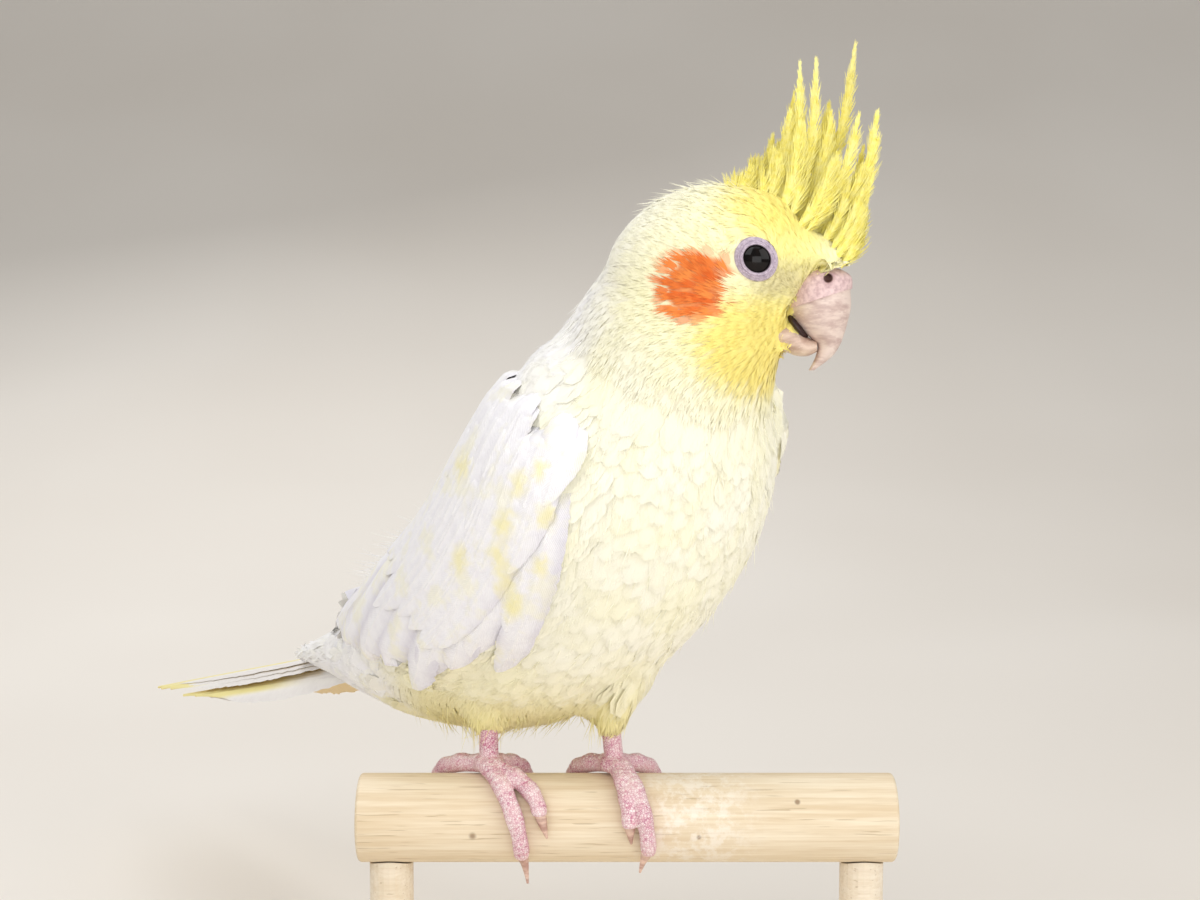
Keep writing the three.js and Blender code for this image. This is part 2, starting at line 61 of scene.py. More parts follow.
# %% A socket that can be used in expressions
class Socket:
    """An output of a node, so that shader maths reads like Python."""

    def __init__(self, tree, output):
        self.tree = tree
        self.output = output

    def make(self, kind, settings=None, inputs=None, out=0):
        """Any node: its type, its settings, the values or links of its inputs, and which output."""
        node = self.tree.nodes.new(kind)
        for key, value in (settings or {}).items():
            setattr(node, key, value)
        for key, value in (inputs or {}).items():
            if isinstance(value, Socket):
                self.tree.links.new(value.output, node.inputs[key])
            else:
                node.inputs[key].default_value = value
        return Socket(self.tree, node.outputs[out])

    def math(self, operation, *others):
        values = dict(enumerate((self, *others)))
        return self.make("ShaderNodeMath", {"operation": operation}, values)

    def __add__(self, other):
        return self.math("ADD", other)

    __radd__ = __add__

    def __mul__(self, other):
        return self.math("MULTIPLY", other)

    __rmul__ = __mul__

    def __sub__(self, other):
        return self.math("SUBTRACT", other)

    def __rsub__(self, other):
        return (self * -1.0).math("ADD", other)

    def __truediv__(self, other):
        return self.math("DIVIDE", other)

    def __pow__(self, other):
        return self.math("POWER", other)

    def ramp(self, low, high):
        """0 up to low, 1 from high, smooth between them."""
        node = {"interpolation_type": "SMOOTHSTEP"}
        inputs = {"Value": self, "From Min": low, "From Max": high}
        return self.make("ShaderNodeMapRange", node, inputs)

    def mix(self, colour_a, colour_b):
        """colour_a where this socket is 0, colour_b where it is 1."""
        return self.make("ShaderNodeMix", {"data_type": "RGBA"}, {0: self, 6: colour_a, 7: colour_b}, out=2)

    def noise(self, scale, detail=3.0, roughness=0.55, stretch=(1, 1, 1)):
        """Noise read at this vector socket, scale in waves for each metre."""
        place = self.make("ShaderNodeMapping", None, {"Vector": self, "Scale": stretch})
        inputs = {"Vector": place, "Scale": scale, "Detail": detail, "Roughness": roughness}
        return self.make("ShaderNodeTexNoise", None, inputs)

    def attribute(self, name, out=2):
        """A value that the mesh carries: output 2 for a number, 1 for a vector."""
        return self.make("ShaderNodeAttribute", {"attribute_name": name}, out=out)

    def along(self, direction, origin=(0, 0, 0)):
        """How far this place lies along a direction from an origin, in millimetres."""
        offset = self.make("ShaderNodeVectorMath", {"operation": "SUBTRACT"}, {0: self, 1: tuple(origin)})
        settings = {"operation": "DOT_PRODUCT"}
        axis = tuple(value / MM for value in direction)
        return offset.make("ShaderNodeVectorMath", settings, {0: offset, 1: axis}, out=1)


def tint(code):
    """A colour for a socket from its usual six-figure code."""
    parts = [int(code[i:i + 2], 16) / 255 for i in (0, 2, 4)]
    linear = [p / 12.92 if p <= 0.04045 else ((p + 0.055) / 1.055) ** 2.4 for p in parts]
    return (*linear, 1.0)


def material(name, **values):
    """A new material: its Principled sockets' constants, and what its nodes start from."""
    made = bpy.data.materials.new(name)
    made.use_nodes = True
    tree = made.node_tree
    surface = tree.nodes["Principled BSDF"]
    for key, value in values.items():
        surface.inputs[key.replace("_", " ")].default_value = value
    coordinates = tree.nodes.new("ShaderNodeTexCoord")
    return made, Socket(tree, coordinates.outputs["Object"]), surface


def wire(socket, surface, name):
    """Feed one of the surface's inputs from a socket."""
    socket.tree.links.new(socket.output, surface.inputs[name])


def bump(height, surface, distance, strength=1.0):
    """Small relief from a height socket, its depth given in millimetres."""
    inputs = {"Height": height, "Distance": distance * MM, "Strength": strength}
    wire(height.make("ShaderNodeBump", None, inputs), surface, "Normal")


# %% [markdown]
# ## Meshes from arrays
#
# Feathers come by the thousand, so meshes are filled from whole arrays at once. A smooth
# line through a few rows of numbers gives every curve on the bird, from a toe to the back.


# %% Build a mesh from arrays
def soft_normals(points, faces, lie, own):
    """Corner normals that follow the skin below, so that a coat shades as one soft surface."""
    a, b, c = (points[faces[:, k]] for k in range(3))
    face_way = unit(np.cross(b - a, c - a))
    skin_way = lie[faces].reshape(-1, 3, 3)
    facing = np.einsum("ij,ikj->ik", face_way, skin_way)[..., None]
    soft = np.clip(np.abs(facing) * 2.5, 0, 1)
    return unit(skin_way * np.sign(facing) * soft + (own + 1 - soft) * face_way[:, None]).reshape(-1, 3)


def carry(mesh, point_values):
    """Give a mesh named values or vectors for each of its points."""
    for key, values in point_values.items():
        kind, field = ("FLOAT_VECTOR", "vector") if values.ndim == 2 else ("FLOAT", "value")
        layer = mesh.attributes.new(key, kind, "POINT")
        layer.data.foreach_set(field, values.astype(np.float32).ravel())


def build(name, points, faces, finish, uv=None, lie=None, own=0.35, **point_values):
    """A mesh object at the origin. points are millimetres; uv, lie and values are for each point."""
    mesh = bpy.data.meshes.new(name)
    faces = np.asarray(faces, np.int32)
    mesh.vertices.add(len(points))
    mesh.vertices.foreach_set("co", (np.asarray(points) * MM).astype(np.float32).ravel())
    mesh.loops.add(faces.size)
    mesh.loops.foreach_set("vertex_index", faces.ravel())
    mesh.polygons.add(len(faces))
    mesh.polygons.foreach_set("loop_start", np.arange(0, faces.size, faces.shape[1], dtype=np.int32))
    mesh.update(calc_edges=True)
    mesh.shade_smooth()
    if uv is not None:
        layer = mesh.uv_layers.new(name="OFBake")
        layer.uv.foreach_set("vector", uv[faces.ravel()].astype(np.float32).ravel())
    carry(mesh, point_values)
    if lie is not None:
        mesh.normals_split_custom_set(soft_normals(np.asarray(points), faces, lie, own))
    mesh.materials.append(finish)
    piece = bpy.data.objects.new(name, mesh)
    bpy.context.collection.objects.link(piece)
    return piece


def place(piece, slot, *replaced):
    """Tie a finished piece to the model's root body and hide the nodes it replaces; slot is not used."""
    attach(piece, "root")
    if replaced:
        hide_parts(*replaced)
    triangles = sum(len(face.vertices) - 2 for face in piece.data.polygons)
    print(f"{piece.name}: {triangles} triangles")
    return piece


# %% Smooth lines and directions
def smooth_run(rows, share):
    """Rows of numbers joined by a smooth line, read at shares of its length."""
    rows = np.asarray(rows, float)
    if rows.ndim == 1:
        rows = rows[:, None]
    padded = np.vstack([2 * rows[:1] - rows[1:2], rows, 2 * rows[-1:] - rows[-2:-1]])
    spot = np.clip(np.asarray(share, float), 0, 1) * (len(rows) - 1)
    first = np.minimum(spot.astype(int), len(rows) - 2)
    u = (spot - first)[..., None]
    a, b, c, d = (padded[first + k] for k in range(4))
    return 0.5 * (2 * b + (c - a) * u + (2 * a - 5 * b + 4 * c - d) * u**2 + (3 * b - a - 3 * c + d) * u**3)


def unit(vectors):
    """Vectors of length 1."""
    vectors = np.asarray(vectors, float)
    return vectors / np.maximum(np.linalg.norm(vectors, axis=-1, keepdims=True), 1e-9)


def dots(a, b):
    """The dot product of each row of a with the same row of b."""
    return np.einsum("ij,ij->i", a, b)


def gap_to(places, spot):
    """How far each place is from one spot."""
    return np.linalg.norm(places - spot, axis=1)


def turns(count):
    """The equal turns that make up a full circle, in radians."""
    return np.linspace(0, 2 * math.pi, count, endpoint=False)


# %% Closed bodies from rings
def closed_rings(rings):
    """Points and triangles of a closed body from rings of points, with a pole at each end."""
    count, around = rings.shape[:2]
    points = np.vstack([rings.reshape(-1, 3), rings[0].mean(axis=0), rings[-1].mean(axis=0)])
    i, j = np.meshgrid(np.arange(count - 1), np.arange(around), indexing="ij")
    a = (i * around + j).ravel()
    b = (i * around + (j + 1) % around).ravel()
    side = np.vstack([np.stack([a, b, a + around], 1), np.stack([b, b + around, a + around], 1)])
    j = np.arange(around)
    start = np.stack([np.full(around, len(points) - 2), (j + 1) % around, j], 1)
    last = (count - 1) * around
    end = np.stack([np.full(around, len(points) - 1), last + j, last + (j + 1) % around], 1)
    return outwards(points, np.vstack([side, start, end]))


def outwards(points, faces):
    """The same triangles, turned if the body they close is inside out."""
    a, b, c = (points[faces[:, k]] for k in range(3))
    volume = dots(a, np.cross(b, c)).sum()
    return points, faces if volume > 0 else faces[:, ::-1]


def joined(bodies):
    """Several (points, faces) as one."""
    starts = np.cumsum([0] + [len(points) for points, _ in bodies])
    faces = [faces + start for (_, faces), start in zip(bodies, starts)]
    return np.vstack([points for points, _ in bodies]), np.vstack(faces)


# %% [markdown]
# ## Places on the bird
#
# The trunk is a smooth line from the root of the tail to inside the head, with a width and
# two heights at each of its rows. A place on the flank is a share of that line and a turn
# from the middle of the back. The head has its own axes, because it is turned to the side.

# %% Trunk line and head axes
BODY_ROWS = np.array([  # x, y, z, half width, height above the line, depth below it
    [-68, 68, 65.4, 6.4, 2.2, 2.6],
    [-51, 47, 70.5, 13.2, 8, 10],
    [-36, 31, 75.5, 20.5, 13, 18],
    [-23, 16, 84, 25, 17.6, 24.5],
    [-11, 3, 93, 27, 22.2, 25],
    [-1, -8, 106.5, 27, 25, 24.5],
    [4, -15, 118, 24.5, 24.6, 22.3],
    [6.5, -20, 128, 20, 22.6, 19.5],
    [10, -25, 138, 16, 20.5, 17.5],
    [14, -28, 146, 12, 14.5, 14],
])
TRUNK_YAW, HEAD_YAW = math.radians(-50), math.radians(-8)
HEAD_CENTRE = np.array([15, -28, 148.2])
UP = np.array([0.0, 0.0, 1.0])
FORWARD = np.array([math.cos(HEAD_YAW), math.sin(HEAD_YAW), 0])
RIGHT = np.array([math.sin(HEAD_YAW), -math.cos(HEAD_YAW), 0])
TRUNK_RIGHT = np.array([math.sin(TRUNK_YAW), -math.cos(TRUNK_YAW), 0])
SIDES = {"right": 1, "left": -1}


def on_head(forward, right, up):
    """A place given from the head's centre, along its own axes."""
    parts = (np.asarray(v, float)[..., None] for v in (forward, right, up))
    return HEAD_CENTRE + sum(part * axis for part, axis in zip(parts, (FORWARD, RIGHT, UP)))


def body_frame(t):
    """Centre, way right, way to the back and way along the trunk at shares t."""
    centre = smooth_run(BODY_ROWS[:, :3], t)
    step = 1e-3
    way = unit(smooth_run(BODY_ROWS[:, :3], t + step) - smooth_run(BODY_ROWS[:, :3], t - step))
    right = unit(TRUNK_RIGHT - (way @ TRUNK_RIGHT)[..., None] * way)
    return centre, right, np.cross(right, way), way


def flank(t, turn, lift=0.0):
    """The place at share t of the trunk and turn degrees from the back, lifted off it."""
    t, turn, lift = np.broadcast_arrays(*(np.asarray(v, float) for v in (t, turn, lift)))
    centre, right, top, _ = body_frame(t)
    wide, above, below = np.moveaxis(smooth_run(BODY_ROWS[:, 3:], t), -1, 0)
    angle = np.radians(turn)
    high = np.where(np.cos(angle) > 0, above, below) + lift
    across = ((wide + lift) * np.sin(angle))[..., None] * right
    return centre + across + (high * np.cos(angle))[..., None] * top


print("crown of the head at", np.round(on_head(0, 0, 13.5)), "mm")

# %% [markdown]
# ## Camera, floor and light
#
# The camera looks 5 degrees down from the height of the bird's head, as the photo does. The
# floor runs back and curves up into a wall, so no horizon shows, and large soft lamps give
# the bright, even light of a white room.

# %% Camera
CAMERA_PLACE = np.array([-4.84, -330.9, 144.3])
CAMERA_DOWN = math.radians(5)
SENSOR = 36.0
FOCAL_SHARE = 1850 / 1200  # focal length over the width of the picture
camera_data = bpy.data.cameras.new("camera")
camera_data.sensor_width = SENSOR
camera_data.lens = SENSOR * FOCAL_SHARE
camera_data.clip_start = 0.01
camera = bpy.data.objects.new("camera", camera_data)
camera.location = CAMERA_PLACE * MM
camera.rotation_euler = (math.pi / 2 - CAMERA_DOWN, 0, 0)
bpy.context.collection.objects.link(camera)
bpy.context.scene.camera = camera
bpy.context.scene.view_settings.view_transform = "Standard"
print("lens", round(camera_data.lens, 2), "mm")


# %% Floor that curves up into a wall
def make_floor():
    """A pale floor that bends up into a wall behind the bird."""
    reach, near, far, bend = 2600, -1500, 250, 1400
    angles = np.linspace(0, math.pi / 2, 13)
    y = np.concatenate([[near], far + bend * np.sin(angles), [far + bend]])
    z = np.concatenate([[0], bend * (1 - np.cos(angles)), [2200]])
    points = np.array([[x, b, c] for b, c in zip(y, z) for x in (-reach, reach)])
    faces = [[2 * i, 2 * i + 1, 2 * i + 3, 2 * i + 2] for i in range(len(y) - 1)]
    finish, spot, surface = material("floor_pale", Roughness=0.7)
    shade = spot.noise(3, 2).ramp(0.3, 0.7).mix(tint("e2dcd4"), tint("e8e3dc"))
    wire(shade, surface, "Base Color")
    return build("floor", points, faces, finish)


make_floor()

# %% Lamps
LAMPS = [  # place, size in millimetres, power in watts
    ((-420, -520, 720), 620, 2.9),
    ((520, -420, 420), 560, 1.9),
    ((-250, 560, 620), 500, 2.2),
    ((0, -250, 950), 700, 1.5),
    ((120, -700, 60), 520, 2.1),
]
AIM = np.array([0, 0, 105])
for number, (spot, size, power) in enumerate(LAMPS):
    lamp_data = bpy.data.lights.new(f"lamp_{number}", "AREA")
    lamp_data.size = size * MM
    lamp_data.energy = power
    lamp = bpy.data.objects.new(f"lamp_{number}", lamp_data)
    lamp.location = np.array(spot) * MM
    lamp.rotation_euler = Vector(AIM - np.array(spot)).to_track_quat("-Z", "Y").to_euler()
    bpy.context.collection.objects.link(lamp)

world = bpy.data.worlds.new("room")
world.use_nodes = True
world.node_tree.nodes["Background"].inputs["Color"].default_value = tint("f3f1ee")
world.node_tree.nodes["Background"].inputs["Strength"].default_value = 0.46
bpy.context.scene.world = world
print("lamps:", len(LAMPS))

# %% [markdown]
# ## Wood
#
# The perch is a bare dowel of pale wood: fine streaks along it, a few small brown knots and a
# scuffed whitish patch where the toes rub.


# %% Pale wood
def wood(name, light, dark, scuffed):
    """Fine-grained wood along X; a scuffed piece has knots and a rubbed patch too."""
    finish, spot, surface = material(name, Roughness=0.6)
    grain = spot.noise(190, 4, 0.6, stretch=(0.06, 1, 1))
    fibre = spot.noise(1500, 3, 0.6, stretch=(0.035, 1, 1))
    broad = spot.noise(40, 2, 0.5, stretch=(0.3, 1, 1))
    tone = (grain * 0.45 + fibre * 0.35 + broad * 0.2).ramp(0.36, 0.66)
    colour = tone.mix(light, dark)
    pores = spot.noise(2600, 1, 0.5, stretch=(0.05, 1, 1)).ramp(0.66, 0.74)
    colour = (pores * 0.4).mix(colour, tint("a98a63"))
    if scuffed:
        for x, y, z, size in ((-27.6, -7.5, 46.9, 1.0), (30.5, -6.4, 52.6, 0.7), (12.8, -7.9, 46.6, 0.6)):
            away = spot.make("ShaderNodeVectorMath", {"operation": "DISTANCE"},
                             {0: spot, 1: (x * MM, y * MM, z * MM)}, out=1)
            knot = away.ramp(size * MM, size * 0.35 * MM)
            colour = (knot * 0.75).mix(colour, tint("7c5a3a"))
        rubbed = spot.noise(420, 4, 0.7).ramp(0.42, 0.62)
        near = (spot.along((1, 0, 0), (0.012, 0, 0)).math("ABSOLUTE")).ramp(15.0, 3.0)
        colour = (rubbed * near * 0.45).mix(colour, tint("fbf7f1"))
    wire(colour, surface, "Base Color")
    wire(fibre * 0.25 + 0.48, surface, "Roughness")
    bump(fibre + pores * -0.8, surface, 0.12, 0.6)
    return finish


perch_wood = wood("perch_wood", tint("f0e3cb"), tint("d8c2a0"), True)
stand_wood = wood("stand_wood", tint("efe4d2"), tint("dccbb0"), False)

# %% Perch, rods and base
PERCH = {"radius": 8, "length": 97.5, "height": 48, "round": 0.7}


def lathe_along_x(profile, centre, around=72):
    """A closed body turned about a line along X, from (x, radius) rows."""
    profile = np.asarray(profile, float)
    angles = turns(around)
    x, radius = profile[:, 0, None], profile[:, 1, None]
    rings = np.stack([x + 0 * angles, radius * np.cos(angles), radius * np.sin(angles)], axis=-1)
    return closed_rings(rings + np.asarray(centre, float))


def dowel_profile(length, radius, edge, steps=5):
    """Rows of a dowel with slightly rounded rims, from one end to the other."""
    end = length / 2
    angles = np.linspace(0, math.pi / 2, steps)
    face = [(-end, radius * share) for share in (0.15, 0.45, 0.75)]
    rim = [(-end + edge * (1 - math.sin(a)), radius - edge * (1 - math.cos(a))) for a in angles[::-1]]
    start = face + sorted(rim, key=lambda row: row[1])
    body = [(x, radius) for x in np.linspace(-end + edge, end - edge, 24)[1:-1]]
    return start + body + [(-x, r) for x, r in reversed(start)]


profile = dowel_profile(PERCH["length"], PERCH["radius"], PERCH["round"])
points, faces = lathe_along_x(profile, (0, 0, PERCH["height"]))
place(build("perch", points, faces, perch_wood), "perch_wood", "stand_perch")

for name in ("stand_rod_right", "stand_rod_left", "stand_base"):
    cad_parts[name].material_slots[0].material = stand_wood

# %% [markdown]
# ## Skin
#
# The CAD parts the flesh in head, neck, trunk and thighs, with thin cuts between them. On
# the bird it is one surface. The nodes are copied, swollen a little so that the cuts close,
# remeshed to one even skin, relaxed, and then sunk by the depth of the coat that grows on
# it. The wings go into the copy too, so that the coat runs over their shoulders.

# %% Copy, remesh and relax the flesh
FLESH = ["head", "neck", "trunk", "thigh_right", "thigh_left"]
WINGS = ["wing_right", "wing_left"]
SWELL, VOXEL, SKIN_ROUNDS = 0.7, 0.85, 14
OVERLAP = 0.15  # how much of the swelling stays
EYE = {"radius": 3.9, "forward": 5.7, "aside": 8.25, "up": 0.6}
BILL_ROOT = on_head(15, 0, -6)


def node_arrays(names):
    """Points in millimetres, triangles and outward normals of CAD nodes, doubles merged."""
    merged = bmesh.new()
    for name in names:
        merged.from_mesh(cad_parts[name].data)
    bmesh.ops.remove_doubles(merged, verts=merged.verts, dist=1e-6)
    bmesh.ops.triangulate(merged, faces=merged.faces)
    merged.normal_update()
    points = np.array([v.co for v in merged.verts]) / MM
    normals = np.array([v.normal for v in merged.verts])
    faces = np.array([[v.index for v in face.verts] for face in merged.faces])
    merged.free()
    return points, faces, normals


def eye_place(side):
    """The centre of an eyeball."""
    return on_head(EYE["forward"], side * EYE["aside"], EYE["up"])


def ball(centre, radius, rings=24, around=36):
    """A round body: its poles lie up and down."""
    down = np.linspace(0.02, math.pi - 0.02, rings)[:, None]
    turn = turns(around)[None, :]
    grid = np.stack([np.sin(down) * np.cos(turn), np.sin(down) * np.sin(turn), np.cos(down) + 0 * turn], -1)
    return closed_rings(np.asarray(centre) + grid * radius)


def remeshed(name, bodies, voxel):
    """One skin round several closed bodies: points in millimetres and quads."""
    points, faces = joined(bodies)
    rough = build(name, points, faces, stand_wood)
    remesh = rough.modifiers.new("remesh", "REMESH")
    remesh.mode = "VOXEL"
    remesh.voxel_size = voxel * MM
    seen = rough.evaluated_get(bpy.context.evaluated_depsgraph_get())
    mesh = bpy.data.meshes.new_from_object(seen)
    points = np.empty(3 * len(mesh.vertices), np.float32)
    mesh.vertices.foreach_get("co", points)
    quads = np.empty(4 * len(mesh.polygons), np.int32)
    mesh.polygons.foreach_get("vertices", quads)
    bpy.data.objects.remove(rough)
    return points.reshape(-1, 3).astype(float) / MM, quads.reshape(-1, 4)


def relax(points, quads, rounds, strength=0.6):
    """Even out a skin: each point moves towards the mean of its neighbours."""
    a = quads.ravel()
    b = np.roll(quads, -1, axis=1).ravel()
    count = np.bincount(a, minlength=len(points)) + np.bincount(b, minlength=len(points))
    for _ in range(rounds):
        total = np.zeros_like(points)
        for k in range(3):
            total[:, k] = np.bincount(a, points[b, k], len(points))
            total[:, k] += np.bincount(b, points[a, k], len(points))
        points = points + (total / count[:, None] - points) * strength
    return points


def normals_of(points, quads):
    """The way out of a skin at each of its points."""
    cross = np.cross(points[quads[:, 2]] - points[quads[:, 0]], points[quads[:, 3]] - points[quads[:, 1]])
    total = np.zeros_like(points)
    for k in range(3):
        total[:, k] = sum(np.bincount(quads[:, j], cross[:, k], len(points)) for j in range(4))
    return unit(total)


def share_of(values, low, high):
    """0 up to low, 1 from high, smooth between them."""
    u = np.clip((values - low) / (high - low), 0, 1)
    return u * u * (3 - 2 * u)


# %% Depth of the coat and the bare bill
def coat_depth(points):
    """How deep the skin lies below the plumage: least on the face, most on the trunk."""
    from_head = gap_to(points, HEAD_CENTRE)
    from_bill = gap_to(points, BILL_ROOT)
    depth = 0.9 + 0.7 * share_of(from_head, 14, 28)
    return depth - 0.45 * share_of(from_bill, 13, 7) * (from_head < 22)


BILL_EDGE = np.array([  # where the feathers stop at the side of the bill: up, forward
    [-15.8, 15.4], [-15.2, 14], [-12.5, 11.6], [-7.5, 11.6], [-2.6, 14.8], [-0.9, 16.4],
])


def past_bill_edge(points):
    """How far places lie into the bare side of the bill, in millimetres, negative outside it."""
    offset = points - HEAD_CENTRE
    ahead, high = offset @ FORWARD, offset @ UP
    (bottom, _), (top, tip) = BILL_EDGE[0], BILL_EDGE[-1]
    levels = np.linspace(bottom, top, 60)
    edge = np.stack([np.interp(levels, *BILL_EDGE.T), levels], -1)
    here = np.stack([ahead, high], -1)
    near = np.full(len(points), 1e3)
    close = (ahead > 0) & (high < 12)
    for spot in edge:
        near[close] = np.minimum(near[close], gap_to(here[close], spot))
    ceiling = np.where(ahead > tip, np.abs(high - top), 1e3)
    near = np.minimum(near, ceiling)
    inside = (ahead > np.interp(high, *BILL_EDGE.T)) & (high > bottom) & (high < top)
    return np.where(inside, near, -near)


def bare_the_bill(points):
    """Draw the face in beside the bill, so that the bill comes out of the feathers."""
    depth = past_bill_edge(points)
    rim = np.interp((points - HEAD_CENTRE) @ UP, [-12, -7.5], [3.4, 4.7])
    cap = np.where(depth > 0, np.maximum(rim - 2.6 * depth, 1.5), rim - 1.2 * depth)
    aside = (points - HEAD_CENTRE) @ RIGHT
    wanted = np.sign(aside) * np.minimum(np.abs(aside), cap)
    ahead, high = (points - HEAD_CENTRE) @ FORWARD, (points - HEAD_CENTRE) @ UP
    past = np.where((depth > 0) & (high < -1.5), ahead - np.interp(high, *BILL_EDGE.T), 0)
    return points + (wanted - aside)[:, None] * RIGHT - (0.9 * past)[:, None] * FORWARD


# %% The skin's shape
flesh_points, flesh_faces, flesh_normals = node_arrays(FLESH + WINGS)
swollen = (flesh_points + flesh_normals * SWELL, flesh_faces)
eye_fill = [ball(eye_place(side), EYE["radius"] + 0.2) for side in SIDES.values()]
outer_points, skin_quads = remeshed("flesh_copy", [swollen, *eye_fill], VOXEL)
outer_points = relax(outer_points, skin_quads, SKIN_ROUNDS)
outer_points = bare_the_bill(outer_points)
outer_normals = normals_of(outer_points, skin_quads)
outer_points = outer_points - outer_normals * (SWELL - OVERLAP)
skin_points = outer_points - outer_normals * coat_depth(outer_points)[:, None]
print("skin:", len(skin_quads), "quads")

# %% [markdown]
# ## Markings
#
# One function paints skin and feathers alike: a yellow mask on the face, an orange cheek,
# a cream breast, a white back and a yellow vent. It reads a place, which is the surface
# itself on the skin and the root of the feather on the coat, so one feather has one colour.


# %% The bird's markings
AHEAD = (0.643, -0.766, 0)  # the way the breast faces
FACE_MARKS = [  # egg: forward, up, its two half sizes, softness, place and half size aside; strength; colour
    ((2, -3, 18, 19, 0.5, 0, 24), 0.6, "faf5b8"),  # pale yellow hood
    ((5.5, -12, 9, 7.6, 0.32, 0, 19), 0.85, "f8e572"),  # throat
    ((12, 1, 6, 9, 0.5, 0, 30), 0.6, "f9ee7c"),  # between eye and bill
    ((11, 9, 8.5, 6.5, 0.5, 0, 30), 0.85, "f9e97a"),  # forehead
    ((10.8, -3.2, 3.6, 2.0, 0.7), 0.35, "b3a3a6"),  # thin feathers behind the nostril
]
CHEEK = (-2.2, -3.9, 5.7, 5.1, 0.16, 12, 6)


def markings(spot):
    """The colour of the plumage at a place socket, in metres."""
    ahead = spot.along(FORWARD, HEAD_CENTRE * MM)
    high = spot.along(UP, HEAD_CENTRE * MM)
    aside = spot.along(RIGHT, HEAD_CENTRE * MM).math("ABSOLUTE")
    blotch = spot.noise(120, 3, 0.6)
    streak = spot.noise(700, 2, 0.6)
    drift = (blotch - 0.5) * 10.0 + (streak - 0.5) * 5.0

    def within(f, u, size_f, size_u, soft, side=0.0, size_side=1e3):
        """1 inside an egg on the head's side view, 0 outside it."""
        across = ((ahead - f) / size_f) ** 2.0
        along = ((high - u) / size_u) ** 2.0
        deep = ((aside - side) / size_side) ** 2.0
        reach = (across + along + deep) ** 0.5
        return (reach + drift * 0.012).ramp(1.0 + soft, 1.0 - soft)

    cream = blotch.ramp(0.35, 0.7).mix(tint("fbf9ea"), tint("faf7dc"))
    white = streak.ramp(0.3, 0.75).mix(tint("f6f5f9"), tint("fbfaf3"))
    front = spot.along(AHEAD, (0, 0, 0))
    height = spot.along(UP)
    back = (front * 0.78 - height * 0.62 + drift * 0.5 + 66.0).ramp(4.0, -12.0)
    colour = back.mix(cream, white)
    warm = (height + front * 0.35 + drift * 0.5).ramp(96.0, 76.0)
    colour = (warm * (1.0 - back) * 0.7).mix(colour, tint("f7f1cb"))
    vent = (height + drift * 0.4).ramp(78.0, 66.0)
    colour = (vent * (1.0 - back) * 0.85).mix(colour, tint("f3e89e"))

    for egg, strength, shade in FACE_MARKS:
        colour = (within(*egg) * strength).mix(colour, tint(shade))
    cheek = within(*CHEEK)
    orange = streak.ramp(0.32, 0.7).mix(tint("f28f42"), tint("e0661f"))
    return cheek.mix(colour, orange)


# %% Finishes of feathers and skin
def plumage(name):
    """Feather finish: markings from each feather's root, with painted shade that makes it darker at the root
    and paler at the tip.
    """
    finish, start, surface = material(name, Roughness=0.72, Sheen_Weight=0.25, Sheen_Roughness=0.5)
    surface.inputs["Specular IOR Level"].default_value = 0.25
    root = start.attribute("root", 1)
    along = start.attribute("along")
    chance = start.attribute("chance")
    colour = markings(root)
    side = start.attribute("side")
    lane = start.make("ShaderNodeCombineXYZ", None, {0: side, 1: along * 0.5, 2: chance * 40.0})
    fibre = lane.noise(2.6, 2, 0.6)
    # Painted shade: each feather is darker towards its root, where the feathers over it shade it; chance and
    # fibre add random tone towards the same colour.
    shade = (1.0 - along).ramp(0.3, 1.2) * 0.2 + (chance - 0.5) * 0.06 + (fibre - 0.5) * 0.22
    colour = shade.ramp(0.0, 1.0).mix(colour, tint("ddd2b4"))
    bump(fibre, surface, 0.05, 0.5)
    wire(colour, surface, "Base Color")
    return finish


def skin_finish():
    """The markings under a fine down."""
    finish, spot, surface = material("skin_plumage", Roughness=0.8)
    colour = markings(spot)
    down = spot.noise(900, 3, 0.6)
    wire((down * 0.25).mix(colour, tint("d9cc9c")), surface, "Base Color")
    bump(down, surface, 0.25, 0.6)
    return finish


skin = build("skin", skin_points, skin_quads, skin_finish())
place(skin, "plumage_cream", *FLESH)

# %% [markdown]
# ## Eyes and lids
#
# The eye is a dark ball behind a wet surface. Round it lies a bare lid of grey-lilac skin in
# fine rings. The lid is a swept band: its profile starts on the ball, rises over the rim and
# falls in small folds to the cheek.

# %% Eyes
EYE_AXIS = {"ahead": 0.2, "up": 0.02}  # the way the eye looks, beside one step to the side
OPENING = 2.12  # half the width of the dark eye between the lids
LID_AROUND, LID_WIDTH = 96, 1.3


def eye_axes(side):
    """The ways out of an eye, ahead and up."""
    out = unit(side * RIGHT + EYE_AXIS["ahead"] * FORWARD + EYE_AXIS["up"] * UP)
    ahead = unit(FORWARD - out * (FORWARD @ out))
    return out, ahead, np.cross(out, ahead) * side


def eye_finish():
    """Almost black under a wet surface."""
    finish, spot, surface = material("eye_wet", Roughness=0.08)
    surface.inputs["Specular IOR Level"].default_value = 0.22
    tone = spot.noise(900, 2, 0.5).ramp(0.35, 0.7).mix(tint("050303"), tint("120a08"))
    wire(tone, surface, "Base Color")
    return finish


def lid_finish():
    """Grey-lilac skin with a dark margin."""
    finish, spot, surface = material("lid_skin", Roughness=0.5)
    fine = spot.noise(1600, 3, 0.6)
    tone = (fine.ramp(0.35, 0.68) * 0.6).mix(tint("c9bac8"), tint("8d7d90"))
    edge = spot.attribute("margin")
    tone = (edge * 0.85).mix(tone, tint("3d3036"))
    wire(tone, surface, "Base Color")
    bump(fine, surface, 0.08, 0.5)
    return finish


